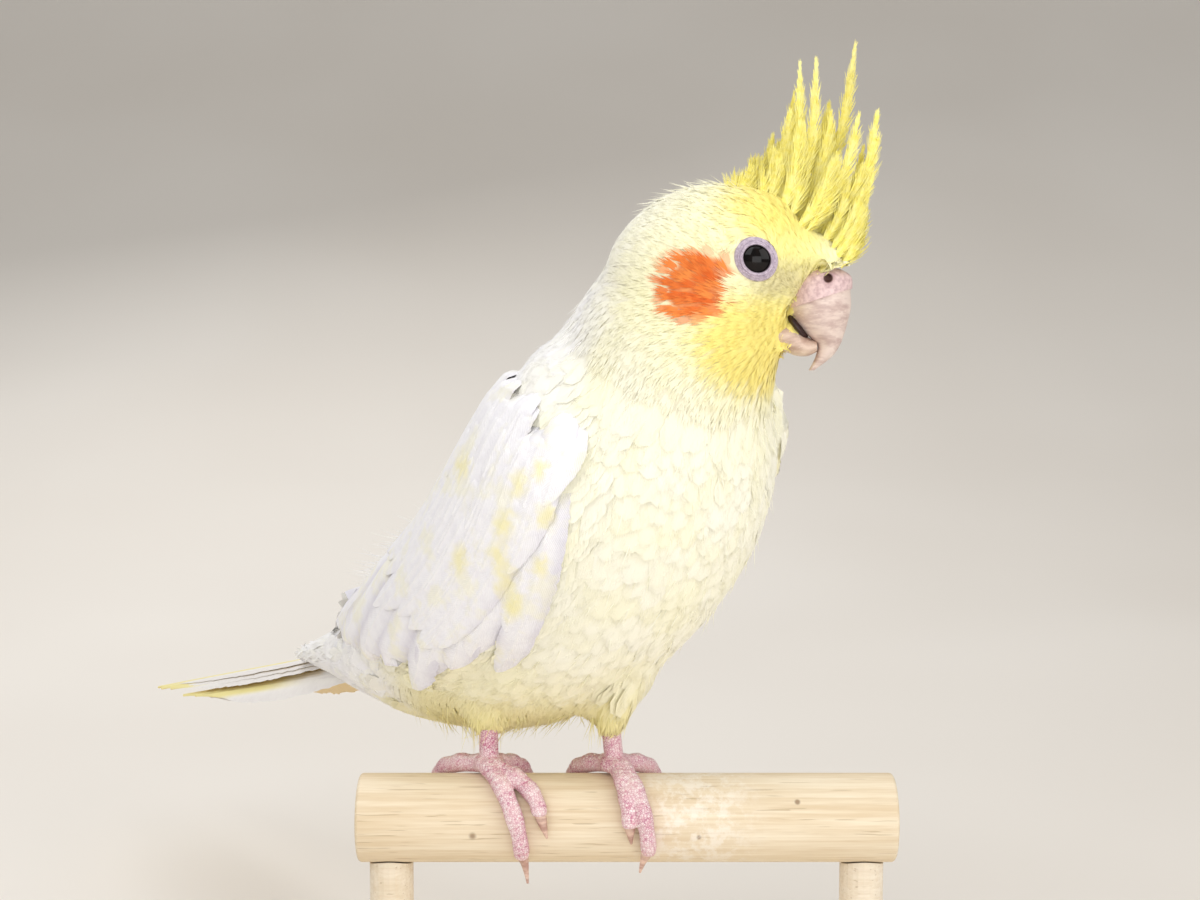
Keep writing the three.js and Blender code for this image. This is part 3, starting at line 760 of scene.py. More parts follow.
def make_lid(side):
    """The band of bare skin round one eye."""
    out, ahead, high = eye_axes(side)
    centre = eye_place(side)
    turn = turns(LID_AROUND)[:, None]
    step = np.linspace(0, 1, 26)[None, :]
    spread = OPENING + LID_WIDTH * step
    on_ball = np.sqrt(np.maximum((EYE["radius"] + 0.05) ** 2 - OPENING**2, 0))
    rise = 0.30 * np.sin(np.minimum(step * 6, 1) * math.pi / 2) - 0.95 * step**1.5
    folds = 0.12 * np.sin(step * 2 * math.pi * 3.6 + 0.6 * np.sin(3 * turn)) * np.sin(math.pi * step)
    beads = 0.05 * np.sin(turn * 26 + 9 * step) * np.sin(math.pi * step)
    height = on_ball + rise + folds + beads
    under = np.array([[OPENING + 1.5, -2.2], [OPENING + 0.7, -1.8], [OPENING - 0.05, -0.25]])
    spread = np.hstack([spread + 0 * turn, np.tile(under[:, 0], (LID_AROUND, 1))])
    height = np.hstack([height, on_ball + np.tile(under[:, 1], (LID_AROUND, 1))])
    oval = 1 + 0.05 * np.cos(2 * (turn - math.radians(135)))
    across = (spread * oval * np.cos(turn))[..., None] * ahead
    upward = (spread * oval * np.sin(turn))[..., None] * high
    grid = centre + across + upward + height[..., None] * out
    n, m = grid.shape[:2]
    i, j = np.meshgrid(np.arange(n), np.arange(m), indexing="ij")
    a, b = i * m + j, i * m + (j + 1) % m
    c, d = (i + 1) % n * m + (j + 1) % m, (i + 1) % n * m + j
    faces = np.vstack([np.stack([a, b, c], -1).reshape(-1, 3), np.stack([a, c, d], -1).reshape(-1, 3)])
    points, faces = outwards(grid.reshape(-1, 3), faces)
    margin = np.tile(np.concatenate([share_of(step[0], 0.16, 0.0), [0, 0, 1]]), n)
    return points, faces, margin


eye_wet, lid_skin = eye_finish(), lid_finish()
for name, side in SIDES.items():
    points, faces = ball(eye_place(side), EYE["radius"], 48, 64)
    place(build(f"eyeball_{name}", points, faces, eye_wet), "eye", f"eye_{name}")
    points, faces, margin = make_lid(side)
    place(build(f"lid_{name}", points, faces, lid_skin, margin=margin), "cere_skin")

# %% [markdown]
# ## Bill
#
# The upper bill hooks over the lower one. Both are stacks of rounded sections, as in the
# CAD, at many more rows. The fleshy cere above carries the nostrils, which are pushed in.

# %% Bill sections
UPPER_ROWS = np.array([  # forward, up, half width, reach to the front and back
    [16.2, -0.5, 2.2, 2], [16, -2, 4, 4.4], [15.7, -4.5, 4.8, 4.9], [15.8, -7, 4.9, 4.9],
    [15.9, -9.5, 4.4, 4.3], [16.8, -11.5, 3.3, 2.9], [17.4, -13, 2.3, 1.8], [16.6, -15, 1.6, 1.3],
    [14.6, -17.3, 0.45, 0.4],
])
LOWER_ROWS = np.array([  # forward, up, half width, height above and below
    [7, -10.6, 3.9, 2.4, 2.6], [9.5, -11.2, 4.3, 2.8, 2.6], [12, -12.3, 4.1, 2.8, 2.5],
    [14, -13.5, 3.2, 2.2, 1.4], [15.6, -13.4, 2.1, 1.3, 0.8],
])
BILL_AROUND = 56  # places round each ring
CERE_SEAM = {"forward": 17, "up": -5.2, "slope": 0.35}
NOSTRIL = {"forward": 17.3, "up": -2.3, "radius": 0.85}


def upper_bill(first, last, rows=60, around=BILL_AROUND, swell=0.0):
    """Rings of the upper bill between two shares of its line, which may differ round the ring."""
    turn = turns(around)[None, :]
    share = np.linspace(0, 1, rows)[:, None]
    t = first + (last - first) * share + 0 * turn
    forward, up, wide, reach = np.moveaxis(smooth_run(UPPER_ROWS, t), -1, 0)
    ridge = 1 + 0.05 * np.exp(-((np.minimum(turn, 2 * math.pi - turn)) / 0.4) ** 2)
    forward = forward + (reach + swell) * ridge * np.cos(turn)
    aside = (wide + swell) * np.sin(turn)
    return forward, aside, up


def seam_share(around=BILL_AROUND):
    """The share of the upper bill's line where each side of it crosses the cere's seam."""
    t = np.linspace(0, 1, 400)[:, None]
    turn = turns(around)[None, :]
    forward, up, _, reach = np.moveaxis(smooth_run(UPPER_ROWS, t + 0 * turn), -1, 0)
    slope = CERE_SEAM["slope"] * (forward + reach * np.cos(turn) - CERE_SEAM["forward"])
    below = up < CERE_SEAM["up"] + slope
    return t[np.argmax(below, axis=0), 0][None, :]


# %% Horn and cere
def horn_finish(name, light, dark):
    """Horn in thin layers, worn pale in places."""
    finish, spot, surface = material(name, Roughness=0.42, Coat_Weight=0.15)
    layers = spot.noise(260, 4, 0.6, stretch=(1, 1, 3))
    flakes = spot.noise(900, 3, 0.65, stretch=(1, 1, 2.2))
    colour = layers.ramp(0.36, 0.66).mix(light, dark)
    worn = flakes.ramp(0.56, 0.72)
    colour = (worn * 0.35).mix(colour, tint("f3e6dc"))
    wire(colour, surface, "Base Color")
    wire(flakes * 0.3 + 0.3, surface, "Roughness")
    bump(layers + flakes * 0.6, surface, 0.14, 0.55)
    return finish


def cere_finish():
    """Pink skin, darker round the nostrils, with painted shade in them."""
    finish, spot, surface = material("cere_flesh", Roughness=0.5)
    fine = spot.noise(1300, 3, 0.6)
    colour = fine.ramp(0.35, 0.7).mix(tint("e2c6c4"), tint("c3a2a3"))
    ahead = spot.along(FORWARD, HEAD_CENTRE * MM) - NOSTRIL["forward"]
    high = spot.along(UP, HEAD_CENTRE * MM) - NOSTRIL["up"]
    away = (ahead * ahead + high * high) ** 0.5
    # Painted shade: the pits of the nostrils are filled with a near-black brown.
    nostril_painted_shade = away.ramp(NOSTRIL["radius"] * 1.05, NOSTRIL["radius"] * 0.7)
    ring = away.ramp(NOSTRIL["radius"] * 1.9, NOSTRIL["radius"])
    colour = (ring * 0.4).mix(colour, tint("a98488"))
    colour = nostril_painted_shade.mix(colour, tint("4a2a24"))
    wire(colour, surface, "Base Color")
    bump(fine, surface, 0.1, 0.5)
    return finish


# %% Cere and upper bill
seam = seam_share()
forward, aside, up = upper_bill(0.02, seam, swell=0.25)
away = np.hypot(forward - NOSTRIL["forward"], up - NOSTRIL["up"])
rim = 0.16 * np.exp(-((away - NOSTRIL["radius"] * 1.15) / 0.4) ** 2)
pit = 1.0 * share_of(away, NOSTRIL["radius"] * 1.15, NOSTRIL["radius"] * 0.45)
aside = aside + np.sign(aside) * (rim - pit) * (np.abs(aside) > 1)
place(build("cere_soft", *closed_rings(on_head(forward, aside, up)), cere_finish()), "cere_skin", "cere")

forward, aside, up = upper_bill(seam - 0.012, 0.995, rows=90)
bill_upper_finish = horn_finish("bill_upper_horn", tint("e3cfc4"), tint("c2a79f"))
bill_lower_finish = horn_finish("bill_lower_horn", tint("dcc3b0"), tint("bb9c8c"))
place(build("bill_upper_horn", *closed_rings(on_head(forward, aside, up)), bill_upper_finish),
      "bill_horn", "bill_upper")


# %% Lower bill and mouth
def lower_bill(rows=40, around=48):
    """Rings of the scoop-shaped lower bill."""
    turn = turns(around)[None, :]
    t = np.linspace(0, 1, rows)[:, None] + 0 * turn
    forward, up, wide, above, below = np.moveaxis(smooth_run(LOWER_ROWS, t), -1, 0)
    high = np.where(np.cos(turn) > 0, above * 0.8, below) * np.cos(turn)
    return on_head(forward, wide * np.sin(turn), up + high)


place(build("bill_lower_horn", *closed_rings(lower_bill()), bill_lower_finish), "bill_horn", "bill_lower")
# A near-black flattened ball in the gape between the bills: painted shade for the inside of the mouth.
mouth_points, mouth_faces = ball((0, 0, 0), 1.0)
x, y, z = (mouth_points * (2.7, 3.9, 0.85)).T
mouth_points = on_head(12.3 + 0.62 * x + 0.78 * z, y, -10.0 - 0.78 * x + 0.62 * z)
mouth_painted_shade, mouth_spot, mouth_surface = material("mouth_painted_shade", Roughness=0.45)
wire(mouth_spot.noise(900).mix(tint("170b0b"), tint("3a1d1b")), mouth_surface, "Base Color")
place(build("mouth", mouth_points, mouth_faces, mouth_painted_shade), "cere_skin")

# %% [markdown]
# ## Feet
#
# Two toes reach forward over the perch and two back. Each toe is a tube that follows the
# dowel. A remesh joins toes, sole and shank, and then small plates are raised along the
# toes, because a bird's foot is covered in scales.

# %% Feet: the toes' ways round the perch
TOE = {"radius": 1.65, "tip": 1.35, "claw": 1.05, "claw_tip": 0.2, "clear": 0.18}
LEGS = {
    "right": {
        "ankle": (-25.2, 0.6, 61.8), "foot": -25,
        "toes": [
            {"x": (-23.5, -18.5), "angle": (-8, -62), "claw": -98, "out": 0},
            {"x": (-24, -15.6), "angle": (10, 72), "claw": 98, "out": 0.6},
            {"x": (-25.2, -18.8), "angle": (10, 119), "claw": 141, "out": 4.2},
            {"x": (-26.5, -35), "angle": (-4, -58), "claw": -94, "out": 0},
        ],
    },
    "left": {
        "ankle": (-2.8, 0.6, 61.5), "foot": -2.2,
        "toes": [
            {"x": (-3.5, -10), "angle": (-6, -60), "claw": -96, "out": 0},
            {"x": (-1.6, 0.4), "angle": (12, 84), "claw": 104, "out": 1},
            {"x": (-0.8, 3.8), "angle": (12, 114), "claw": 136, "out": 2.6, "lean": -1.5},
            {"x": (-1, 5.4), "angle": (-6, -60), "claw": -96, "out": 0},
        ],
    },
}


# %% Toes and claws as tubes
def on_perch(x, degrees, clear):
    """A place beside the perch: along it, round it from its top to the front, and off it."""
    x, angle, clear = np.broadcast_arrays(x, np.radians(degrees), clear)
    reach = PERCH["radius"] + clear
    return np.stack([x + 0.0, -reach * np.sin(angle), PERCH["height"] + reach * np.cos(angle)], -1)


def tube(line, radius, around=24):
    """A closed tube along a line of places, its radius given at each."""
    way = unit(np.gradient(line, axis=0))
    side = unit(np.cross(way, np.array([1.0, 0.02, 0.03])))
    other = np.cross(way, side)
    turn = turns(around)
    radius = np.broadcast_to(radius, len(line))[:, None, None]
    ring = np.cos(turn)[None, :, None] * side[:, None, :] + np.sin(turn)[None, :, None] * other[:, None, :]
    return closed_rings(line[:, None, :] + radius * ring)


def toe_line(toe, steps=60):
    """The middle of a toe and its radius, from the sole to the claw."""
    share = np.linspace(0, 1, steps)
    radius = smooth_run([TOE["radius"], TOE["radius"], TOE["radius"], 1.5, TOE["tip"]], share)[:, 0]
    radius = radius * (1 + 0.05 * np.cos(share * 2 * math.pi * 3.3)) * np.where(share > 0.97, 0.93, 1)
    (x0, x1), (a0, a1) = toe["x"], toe["angle"]
    x = x0 + (x1 - x0) * np.sin(share * math.pi / 2)
    return on_perch(x, a0 + (a1 - a0) * share, TOE["clear"] + radius), radius


def claw_line(toe, steps=40):
    """The middle of a claw and its radius, curling down round the perch."""
    share = np.linspace(0, 1, steps)
    radius = smooth_run([TOE["claw"], 0.95, 0.72, 0.45, TOE["claw_tip"]], share)[:, 0]
    start = toe["angle"][1] - math.copysign(3, toe["angle"][1])
    lean = toe.get("lean", (toe["x"][1] - toe["x"][0]) * 0.16)
    clear = TOE["clear"] + TOE["tip"] + (TOE["claw_tip"] - TOE["tip"]) * share + toe["out"] * share**2
    return on_perch(toe["x"][1] + lean * share, start + (toe["claw"] - start) * share, clear), radius


# %% Scales
def scale_relief(points, toes):
    """How far the scales stand out: plates across the top of each toe, and none elsewhere."""
    lines = [toe_line(toe, 200)[0] for toe in toes]
    height = np.zeros(len(points))
    nearest = np.full(len(points), 1e9)
    for line in lines:
        length = np.concatenate([[0], np.linalg.norm(np.diff(line, axis=0), axis=1).cumsum()])
        gap = np.linalg.norm(points[:, None, :] - line[None, :, :], axis=2)
        best = gap.argmin(axis=1)
        near = gap[np.arange(len(points)), best]
        outward = unit(line[best] - np.stack([line[best, 0], 0 * best, 0 * best + PERCH["height"]], -1))
        top = dots(unit(points - line[best]), outward)
        phase = (length[best] / 1.15) % 1.0
        plate = 0.15 * (phase**0.6 * (1 - phase**6)) * share_of(top, 0.1, 0.6)
        height = np.where(near < nearest, plate, height)
        nearest = np.minimum(nearest, near)
    return height


def foot_finish():
    """Whitish scales with pink skin between them."""
    finish, spot, surface = material("foot_scaly", Roughness=0.5)
    feature = {"feature": "DISTANCE_TO_EDGE"}
    cells = spot.make("ShaderNodeTexVoronoi", feature, {"Vector": spot, "Scale": 2300})
    grain = spot.noise(1500, 2, 0.6)
    plate = spot.attribute("plate")
    raised = (cells.ramp(0.01, 0.13) * 0.75 + plate * 1.8).math("MINIMUM", 1.0)
    patch = spot.noise(330, 3, 0.6).ramp(0.4, 0.62)
    blush = patch.mix(tint("d596a6"), tint("bb5f83"))
    pale = grain.ramp(0.3, 0.7).mix(tint("faf0ee"), (patch * 0.5).mix(tint("efd3d4"), tint("df9db2")))
    wire(raised.mix(blush, pale), surface, "Base Color")
    bump(raised, surface, 0.1, 0.7)
    return finish


# %% Feet and claws
FOOT_VOXEL, FOOT_ROUNDS = 0.2, 4
SOLE = {"rise": 1.9, "half": (2.9, 3.2, 1.85)}
SHANK_RADIUS = 1.75
foot_scaly = foot_finish()
claw_horn = horn_finish("claw_horn", tint("e2c3b2"), tint("b58d80"))
for name, leg in LEGS.items():
    bodies = [tube(*toe_line(toe)) for toe in leg["toes"]]
    sole = on_perch(leg["foot"], 0.0, TOE["clear"] + SOLE["rise"])
    ankle = np.array(leg["ankle"])
    points, faces = ball((0, 0, 0), 1.0)
    bodies.append((sole + points * SOLE["half"], faces))
    share = np.linspace(0, 1, 20)[:, None]
    bodies.append(tube((ankle + 2.5 * UP) * (1 - share) + sole * share, SHANK_RADIUS))
    points, quads = remeshed(f"foot_{name}_copy", bodies, FOOT_VOXEL)
    points = relax(points, quads, FOOT_ROUNDS)
    plate = scale_relief(points, leg["toes"])
    points = points + normals_of(points, quads) * plate[:, None]
    place(build(f"foot_{name}_skin", points, quads, foot_scaly, plate=plate), "foot_skin", f"foot_{name}")
    for number, toe in enumerate(leg["toes"], 1):
        piece = build(f"claw_{name}_{number}_horn", *tube(*claw_line(toe)), claw_horn)
        place(piece, "claw_horn", f"claw_{name}_{number}")

# %% [markdown]
# ## Feathers
#
# A feather is a thin closed leaf, a lens of two curved faces, with a fringe of fine barbs at
# its free end. All feathers of one kind share one template, which is bent along the skin.
# Each has a small patch of its own on the map named OFBake, at its root's place.


# %% Templates for feathers
def leaf_template(fringe=15, seed=3):
    """Across (-1 to 1), along (0 to 1) and height of a leaf's points, and its faces."""
    rows = [(0.3, 0.8), (0.62, 1.0), (0.86, 0.66)]
    points = [(0, 0, 0)]
    for along, wide in rows:
        points += [(-wide, along, -0.8), (0, along, 0.3), (wide, along, -0.8), (0, along, -0.4)]
    points.append((0, 0.97, -0.3))
    tip = len(points) - 1
    faces = [(0, 3, 2), (0, 2, 1), (0, 4, 3), (0, 1, 4)]
    for k in (1, 5):
        for a, b in ((0, 1), (1, 2), (2, 3), (3, 0)):
            faces += [(k + a, k + b, k + 4 + b), (k + a, k + 4 + b, k + 4 + a)]
    faces += [(9, 10, tip), (10, 11, tip), (11, 12, tip), (12, 9, tip)]
    draw = np.random.default_rng(seed)
    for k in range(fringe):
        lean = (k + 0.5) / fringe * 2 - 1
        foot = (lean * 0.86, 0.84 - 0.5 * lean**2)
        reach = draw.uniform(0.1, 0.3)
        top = (lean * (0.95 + 0.5 * reach), foot[1] + reach + 0.08 * (1 - lean**2))
        first = len(points)
        half = 0.045
        points += [(foot[0] - half, foot[1], -0.5), (foot[0] + half, foot[1], -0.5), (foot[0], foot[1], 0.25)]
        points.append((*top, draw.uniform(-0.6, 0.9)))
        faces += [(first, first + 1, first + 3), (first + 1, first + 2, first + 3),
                  (first + 2, first, first + 3), (first, first + 2, first + 1)]
    return np.array(points, float), np.array(faces)


def tuft_template(count=7, seed=5):
    """A tuft of fine barbs that fan out a little, for the head and the thighs."""
    draw = np.random.default_rng(seed)
    points, faces = [], []
    for k in range(count):
        lean = (k + 0.5) / count * 2 - 1
        start = draw.uniform(0.0, 0.3)
        end = draw.uniform(0.75, 1.0) - 0.15 * abs(lean)
        half = 0.16
        first = len(points)
        for along, spread, size in ((start, 0.35, 1.0), (start + 0.55 * (end - start), 0.75, 0.8)):
            x = lean * spread
            points += [(x - half * size, along, -0.6), (x + half * size, along, -0.6), (x, along, 0.3)]
        points.append((lean * 1.0 + draw.uniform(-0.12, 0.12), end, draw.uniform(-0.2, 0.5)))
        a = first
        faces += [(a, a + 2, a + 1)]
        for i, j in ((0, 1), (1, 2), (2, 0)):
            faces += [(a + i, a + j, a + 3 + j), (a + i, a + 3 + j, a + 3 + i), (a + 3 + i, a + 3 + j, a + 6)]
    return np.array(points, float), np.array(faces)


LEAF, TUFT = leaf_template(), tuft_template()
print("leaf:", len(LEAF[1]), "faces, tuft:", len(TUFT[1]), "faces")

# %% The lie of the coat
skin_tree = BVHTree.FromPolygons(skin_points.tolist(), skin_quads.tolist())
body_shares = np.linspace(0, 1, 200)
body_centres = body_frame(body_shares)[0]


def nearest_row(places, rows, step=4000):
    """For each place, the number of the nearest row; it goes in steps to save memory."""
    nearest = np.empty(len(places), int)
    for start in range(0, len(places), step):
        part = places[start:start + step]
        nearest[start:start + step] = np.linalg.norm(part[:, None] - rows[None], axis=2).argmin(axis=1)
    return nearest


def body_share(points):
    """The share of the trunk's line nearest to each place."""
    return body_shares[nearest_row(points, body_centres)]


def lie_of(points, normals):
    """The way the coat lies: back from the bill on the head, and towards the tail behind it."""
    t = body_share(points)
    way = -body_frame(t)[3]
    thigh = share_of(points[:, 2], 75, 68) * (points[:, 1] < 14)
    way = way * (1 - thigh[:, None]) + np.array([-0.1, 0.15, -1.0]) * thigh[:, None]
    from_bill = unit(points - BILL_ROOT)
    on_skull = share_of(gap_to(points, HEAD_CENTRE), 27, 15)[:, None]
    way = unit(from_bill * on_skull + way * (1 - on_skull))
    return unit(way - normals * dots(way, normals)[:, None])


def unwrap(points):
    """A place on an unwrap of the body: share of its length, and turn about its line."""
    long_line = np.vstack([body_centres, HEAD_CENTRE, on_head(14, 0, -4)])
    nearest = nearest_row(points, long_line)
    centre = long_line[nearest]
    ways = unit(np.gradient(long_line, axis=0))[nearest]
    offset = points - centre
    side = unit(np.cross(ways, UP))
    top = np.cross(side, ways)
    turn = np.arctan2(dots(offset, side), dots(offset, top))
    along = (points - body_centres[0]) @ np.array([0.45, -0.55, 0.6]) / 190
    return np.stack([np.clip(0.02 + along, 0.01, 0.99), 0.5 + turn / (2 * math.pi) * 0.96], -1)


# %% Where feathers stand
def scatter(spacing_of, seed):
    """Roots on the skin at the spacing a function asks for at each place."""
    draw = np.random.default_rng(seed)
    corners = skin_points[skin_quads]
    size = np.linalg.norm(np.cross(corners[:, 2] - corners[:, 0], corners[:, 3] - corners[:, 1]), axis=1) / 2
    middle = corners.mean(axis=1)
    spacing = spacing_of(middle)
    chance = np.where(spacing > 0, size / np.maximum(spacing, 0.1) ** 2, 0)
    count = int(chance.sum() * 3.2)
    pick = draw.choice(len(middle), count, p=chance / chance.sum())
    u, v = draw.random((2, count, 1))
    c = corners[pick]
    spots = (c[:, 0] * (1 - u) + c[:, 1] * u) * (1 - v) + (c[:, 3] * (1 - u) + c[:, 2] * u) * v
    gaps = spacing[pick] * 0.82
    tree = KDTree(count)
    for number, spot in enumerate(spots):
        tree.insert(spot, number)
    tree.balance()
    free = np.ones(count, bool)
    kept = []
    for number, (spot, gap) in enumerate(zip(spots, gaps)):
        if free[number]:
            kept.append(number)
            free[[other for _, other, _ in tree.find_range(spot, gap)]] = False
    return spots[kept]


def surface_at(spots):
    """The skin's nearest place and its normal to each spot."""
    places, normals = np.empty_like(spots), np.empty_like(spots)
    for number, spot in enumerate(spots):
        place_there, normal, _, _ = skin_tree.find_nearest(spot)
        places[number], normals[number] = place_there, normal
    return places, normals


# %% Wing zone and spacing
WING_SPAN = np.array([  # share of the trunk, and the turns of the wing's two edges in degrees
    [0.2, 8, 78], [0.29, 10, 94], [0.36, 11, 104], [0.44, 13, 111], [0.53, 16, 116],
    [0.62, 19, 118], [0.7, 23, 112], [0.765, 34, 97], [0.8, 50, 84],
])
TUCK = {"right": 0, "left": 24}  # degrees by which the breast covers the front edge
LEFT_STEP = 9  # degrees by which the far wing's own edge lies further back in the CAD
LID_REACH = 3.3


def wing_zone(spots):
    """Whether places lie on a folded wing, their share and turn, and how near its edge they are."""
    t = body_share(spots)
    centre, right, top, _ = body_frame(t)
    offset = spots - centre
    turn = np.degrees(np.arctan2(dots(offset, right), dots(offset, top)))
    low, high = (np.interp(t, WING_SPAN[:, 0], WING_SPAN[:, k]) for k in (1, 2))
    wing_turn = np.abs(turn) + np.where(turn < 0, TUCK["left"], 0)
    inside = (wing_turn > low) & (wing_turn < high) & (t > 0.2) & (t < 0.79)
    from_step = np.abs(turn) + np.where(turn < 0, LEFT_STEP, 0) - high
    near_edge = share_of(np.abs(from_step), 15, 5) * (t > 0.2) * share_of(t, 0.76, 0.7)
    return inside, t, turn, near_edge


def spacing_of(spots):
    """How far apart feathers stand, in millimetres, and 0 where none grow."""
    from_head = gap_to(spots, HEAD_CENTRE)
    from_bill = gap_to(spots, BILL_ROOT)
    gap = 0.72 + 0.4 * share_of(from_bill, 8, 17) + 0.5 * share_of(from_head, 19, 32)
    gap = gap + 0.4 * share_of(from_head, 32, 60)
    thigh = (spots[:, 2] < 77) & (spots[:, 1] < 14)
    gap = np.where(thigh, 1.25, gap)
    for side in SIDES.values():
        out = eye_axes(side)[0]
        offset = spots - eye_place(side)
        away = np.linalg.norm(offset - (offset @ out)[:, None] * out, axis=1)
        gap = np.where((away < LID_REACH) & (offset @ out > -1), 0, gap)
    bill = past_bill_edge(spots) > 0.2
    return np.where(bill, 0, gap)


# %% The roots
roots = scatter(spacing_of, 7)
roots, root_normals = surface_at(roots)
_, root_share, _, near_edge = wing_zone(roots)
outward = unit(roots - body_frame(root_share)[0])
on_step = (dots(outward, root_normals) < 0.6) & (near_edge > 0.3)
smoothed = 0.55 * near_edge[:, None]  # feathers lie flat across the step of the wing's edge
root_normals = unit(root_normals * (1 - smoothed) + outward * smoothed)
roots, root_normals = roots[~on_step], root_normals[~on_step]
on_wing, root_share, root_turn, _ = wing_zone(roots)
print("feather roots on the skin:", len(roots))

# %% [markdown]
# ## Growing the coat
#
# Every feather is its template bent along three places: its root in the skin, a middle and
# a tip a little above it. So the coat follows each bulge of the body, its tips lie in rows
# like tiles, and only a few stand out where the bird is ruffled.


# %% Grow one region of the coat
PATCH = 0.003  # size of one feather's patch on the map
MOST_FACES = 190000  # in one piece of coat


def grow(name, template, slot, finish, spots, normals, ways, length, width, lift, thick):
    """One piece of coat: a bent copy of the template at each root."""
    shape, faces = template
    count = len(spots)
    draw = np.random.default_rng(len(name) * 101 + count)
    ways = unit(ways + draw.normal(0, 0.09, (count, 3)))
    ways = unit(ways - normals * dots(ways, normals)[:, None])
    length = length * draw.uniform(0.86, 1.14, count)
    width = width * draw.uniform(0.88, 1.12, count)
    _, far_normals = surface_at(spots + ways * length[:, None])
    folded = dots(normals, far_normals)
    length = length * np.clip(0.25 + 0.95 * folded, 0.4, 1)
    half_way, _ = surface_at(spots + ways * length[:, None] * 0.5)
    tips, tip_normals = surface_at(half_way + unit(half_way - spots) * length[:, None] * 0.5)
    rise = lift * draw.uniform(0.8, 1.2, count)
    start = spots - normals * 0.15
    middle = half_way + normals * (rise * 0.62)[:, None]
    end = tips + tip_normals * rise[:, None]
    u = shape[None, :, 1, None]
    line = start[:, None] * (1 - u) * (1 - 2 * u) + middle[:, None] * 4 * u * (1 - u)
    line = line + end[:, None] * u * (2 * u - 1)
    out = unit(normals[:, None] * (1 - u) + tip_normals[:, None] * u)
    run = unit(end - start)
    across = unit(np.cross(run, normals))[:, None]
    width = width * np.ones(count)
    x = shape[None, :, 0, None] * (width / 2)[:, None, None]
    droop = -(x**2) / 34.0
    points = line + across * x + out * (shape[None, :, 2, None] * thick + droop)
    size = shape.shape[0]
    start_index = (np.arange(count) * size)[:, None, None]
    all_faces = (faces[None] + start_index).reshape(-1, 3)
    patch = np.stack([shape[:, 0] * 0.5 / 1.2, shape[:, 1] - 0.5], -1) * PATCH / 1.3
    uv = np.clip(unwrap(spots)[:, None] + patch[None], 0, 1).reshape(-1, 2)
    own = 0.55 if template is TUFT else 0.4
    piece = build(
        name, points.reshape(-1, 3), all_faces, finish, uv=uv, lie=out.reshape(-1, 3), own=own,
        root=np.repeat(spots * MM, size, axis=0), along=np.tile(shape[:, 1], count),
        side=x.ravel(), chance=np.repeat(draw.random(count), size),
    )
    return place(piece, slot)


def round_eyes(spots, ways):
    """The same ways, parted round the lids as water round a stone."""
    for side in SIDES.values():
        out = eye_axes(side)[0]
        offset = spots - eye_place(side)
        flat = offset - (offset @ out)[:, None] * out
        away = np.linalg.norm(flat, axis=1)
        radial = flat / np.maximum(away, 1e-6)[:, None]
        pull = np.where(offset @ out > -2, (4.1 / np.maximum(away, 3.7)) ** 2, 0)[:, None]
        inward = dots(ways, radial)[:, None] * radial
        ways = ways - pull * (2 * inward - ways)
    return unit(ways)


# %% Regions of the coat
feather = plumage("feather_coat")
ways = round_eyes(roots, lie_of(roots, root_normals))
from_head = gap_to(roots, HEAD_CENTRE)
from_bill = gap_to(roots, BILL_ROOT)
on_thigh = (roots[:, 2] < 76) & (roots[:, 1] < 14) & ~on_wing
face = (from_head < 24) & (from_bill < 13) & ~on_thigh
head = (from_head < 25) & ~face & ~on_thigh
free_wing = on_wing & (root_share > 0.56)
trunk = ~face & ~head & ~on_thigh & ~on_wing
rump_end = trunk & (root_share < 0.15)
body = trunk & ~rump_end
breast = body & ((roots @ np.array(AHEAD)) > -6)
back = body & ~breast


def grow_where(name, mask, template, slot, length, width, lift, thick):
    """Split a region into pieces small enough to handle."""
    chosen = np.flatnonzero(mask)
    limit = MOST_FACES // len(template[1])
    for part, start in enumerate(range(0, len(chosen), limit), 1):
        pick = chosen[start:start + limit]
        here = (roots[pick], root_normals[pick], ways[pick])
        sizes = [value[pick] if np.ndim(value) else value for value in (length, width, lift)]
        grow(f"coat_{name}_{part}", template, slot, feather, *here, *sizes, thick)


# %% Grow them all: length, width, lift and thickness of each region's feathers
blend = share_of(from_head, 16, 60)
grow_where("face", face, TUFT, "plumage_yellow", 3.0, 1.4, 0.3, 0.05)
grow_where("head", head, TUFT, "plumage_yellow", 4.2 + 3 * blend, 1.7 + 1.6 * blend, 0.4, 0.055)
grow_where("breast", breast, LEAF, "plumage_cream", 7.5 + 3 * blend, 4.2 + 1.8 * blend, 0.6, 0.13)
grow_where("back", back, LEAF, "plumage_white", 7.5 + 3.5 * blend, 4.2 + 2 * blend, 0.6, 0.13)
grow_where("rump", rump_end, TUFT, "plumage_white", 7.5, 3.0, 0.4, 0.08)
grow_where("thighs", on_thigh, TUFT, "plumage_cream", 6.0, 2.2, 0.7, 0.08)
grow_where("wings", free_wing, LEAF, "plumage_white", 7 + 4 * share_of(root_share, 0.76, 0.5), 5.4, 0.7, 0.13)

# %% [markdown]
# ## Loose strands
#
# Fine strands stand out where the bird is ruffled: on crown, nape, rump and round the
# ankles. Geometry Nodes set one thin cone on each root, turned the way the strand points.

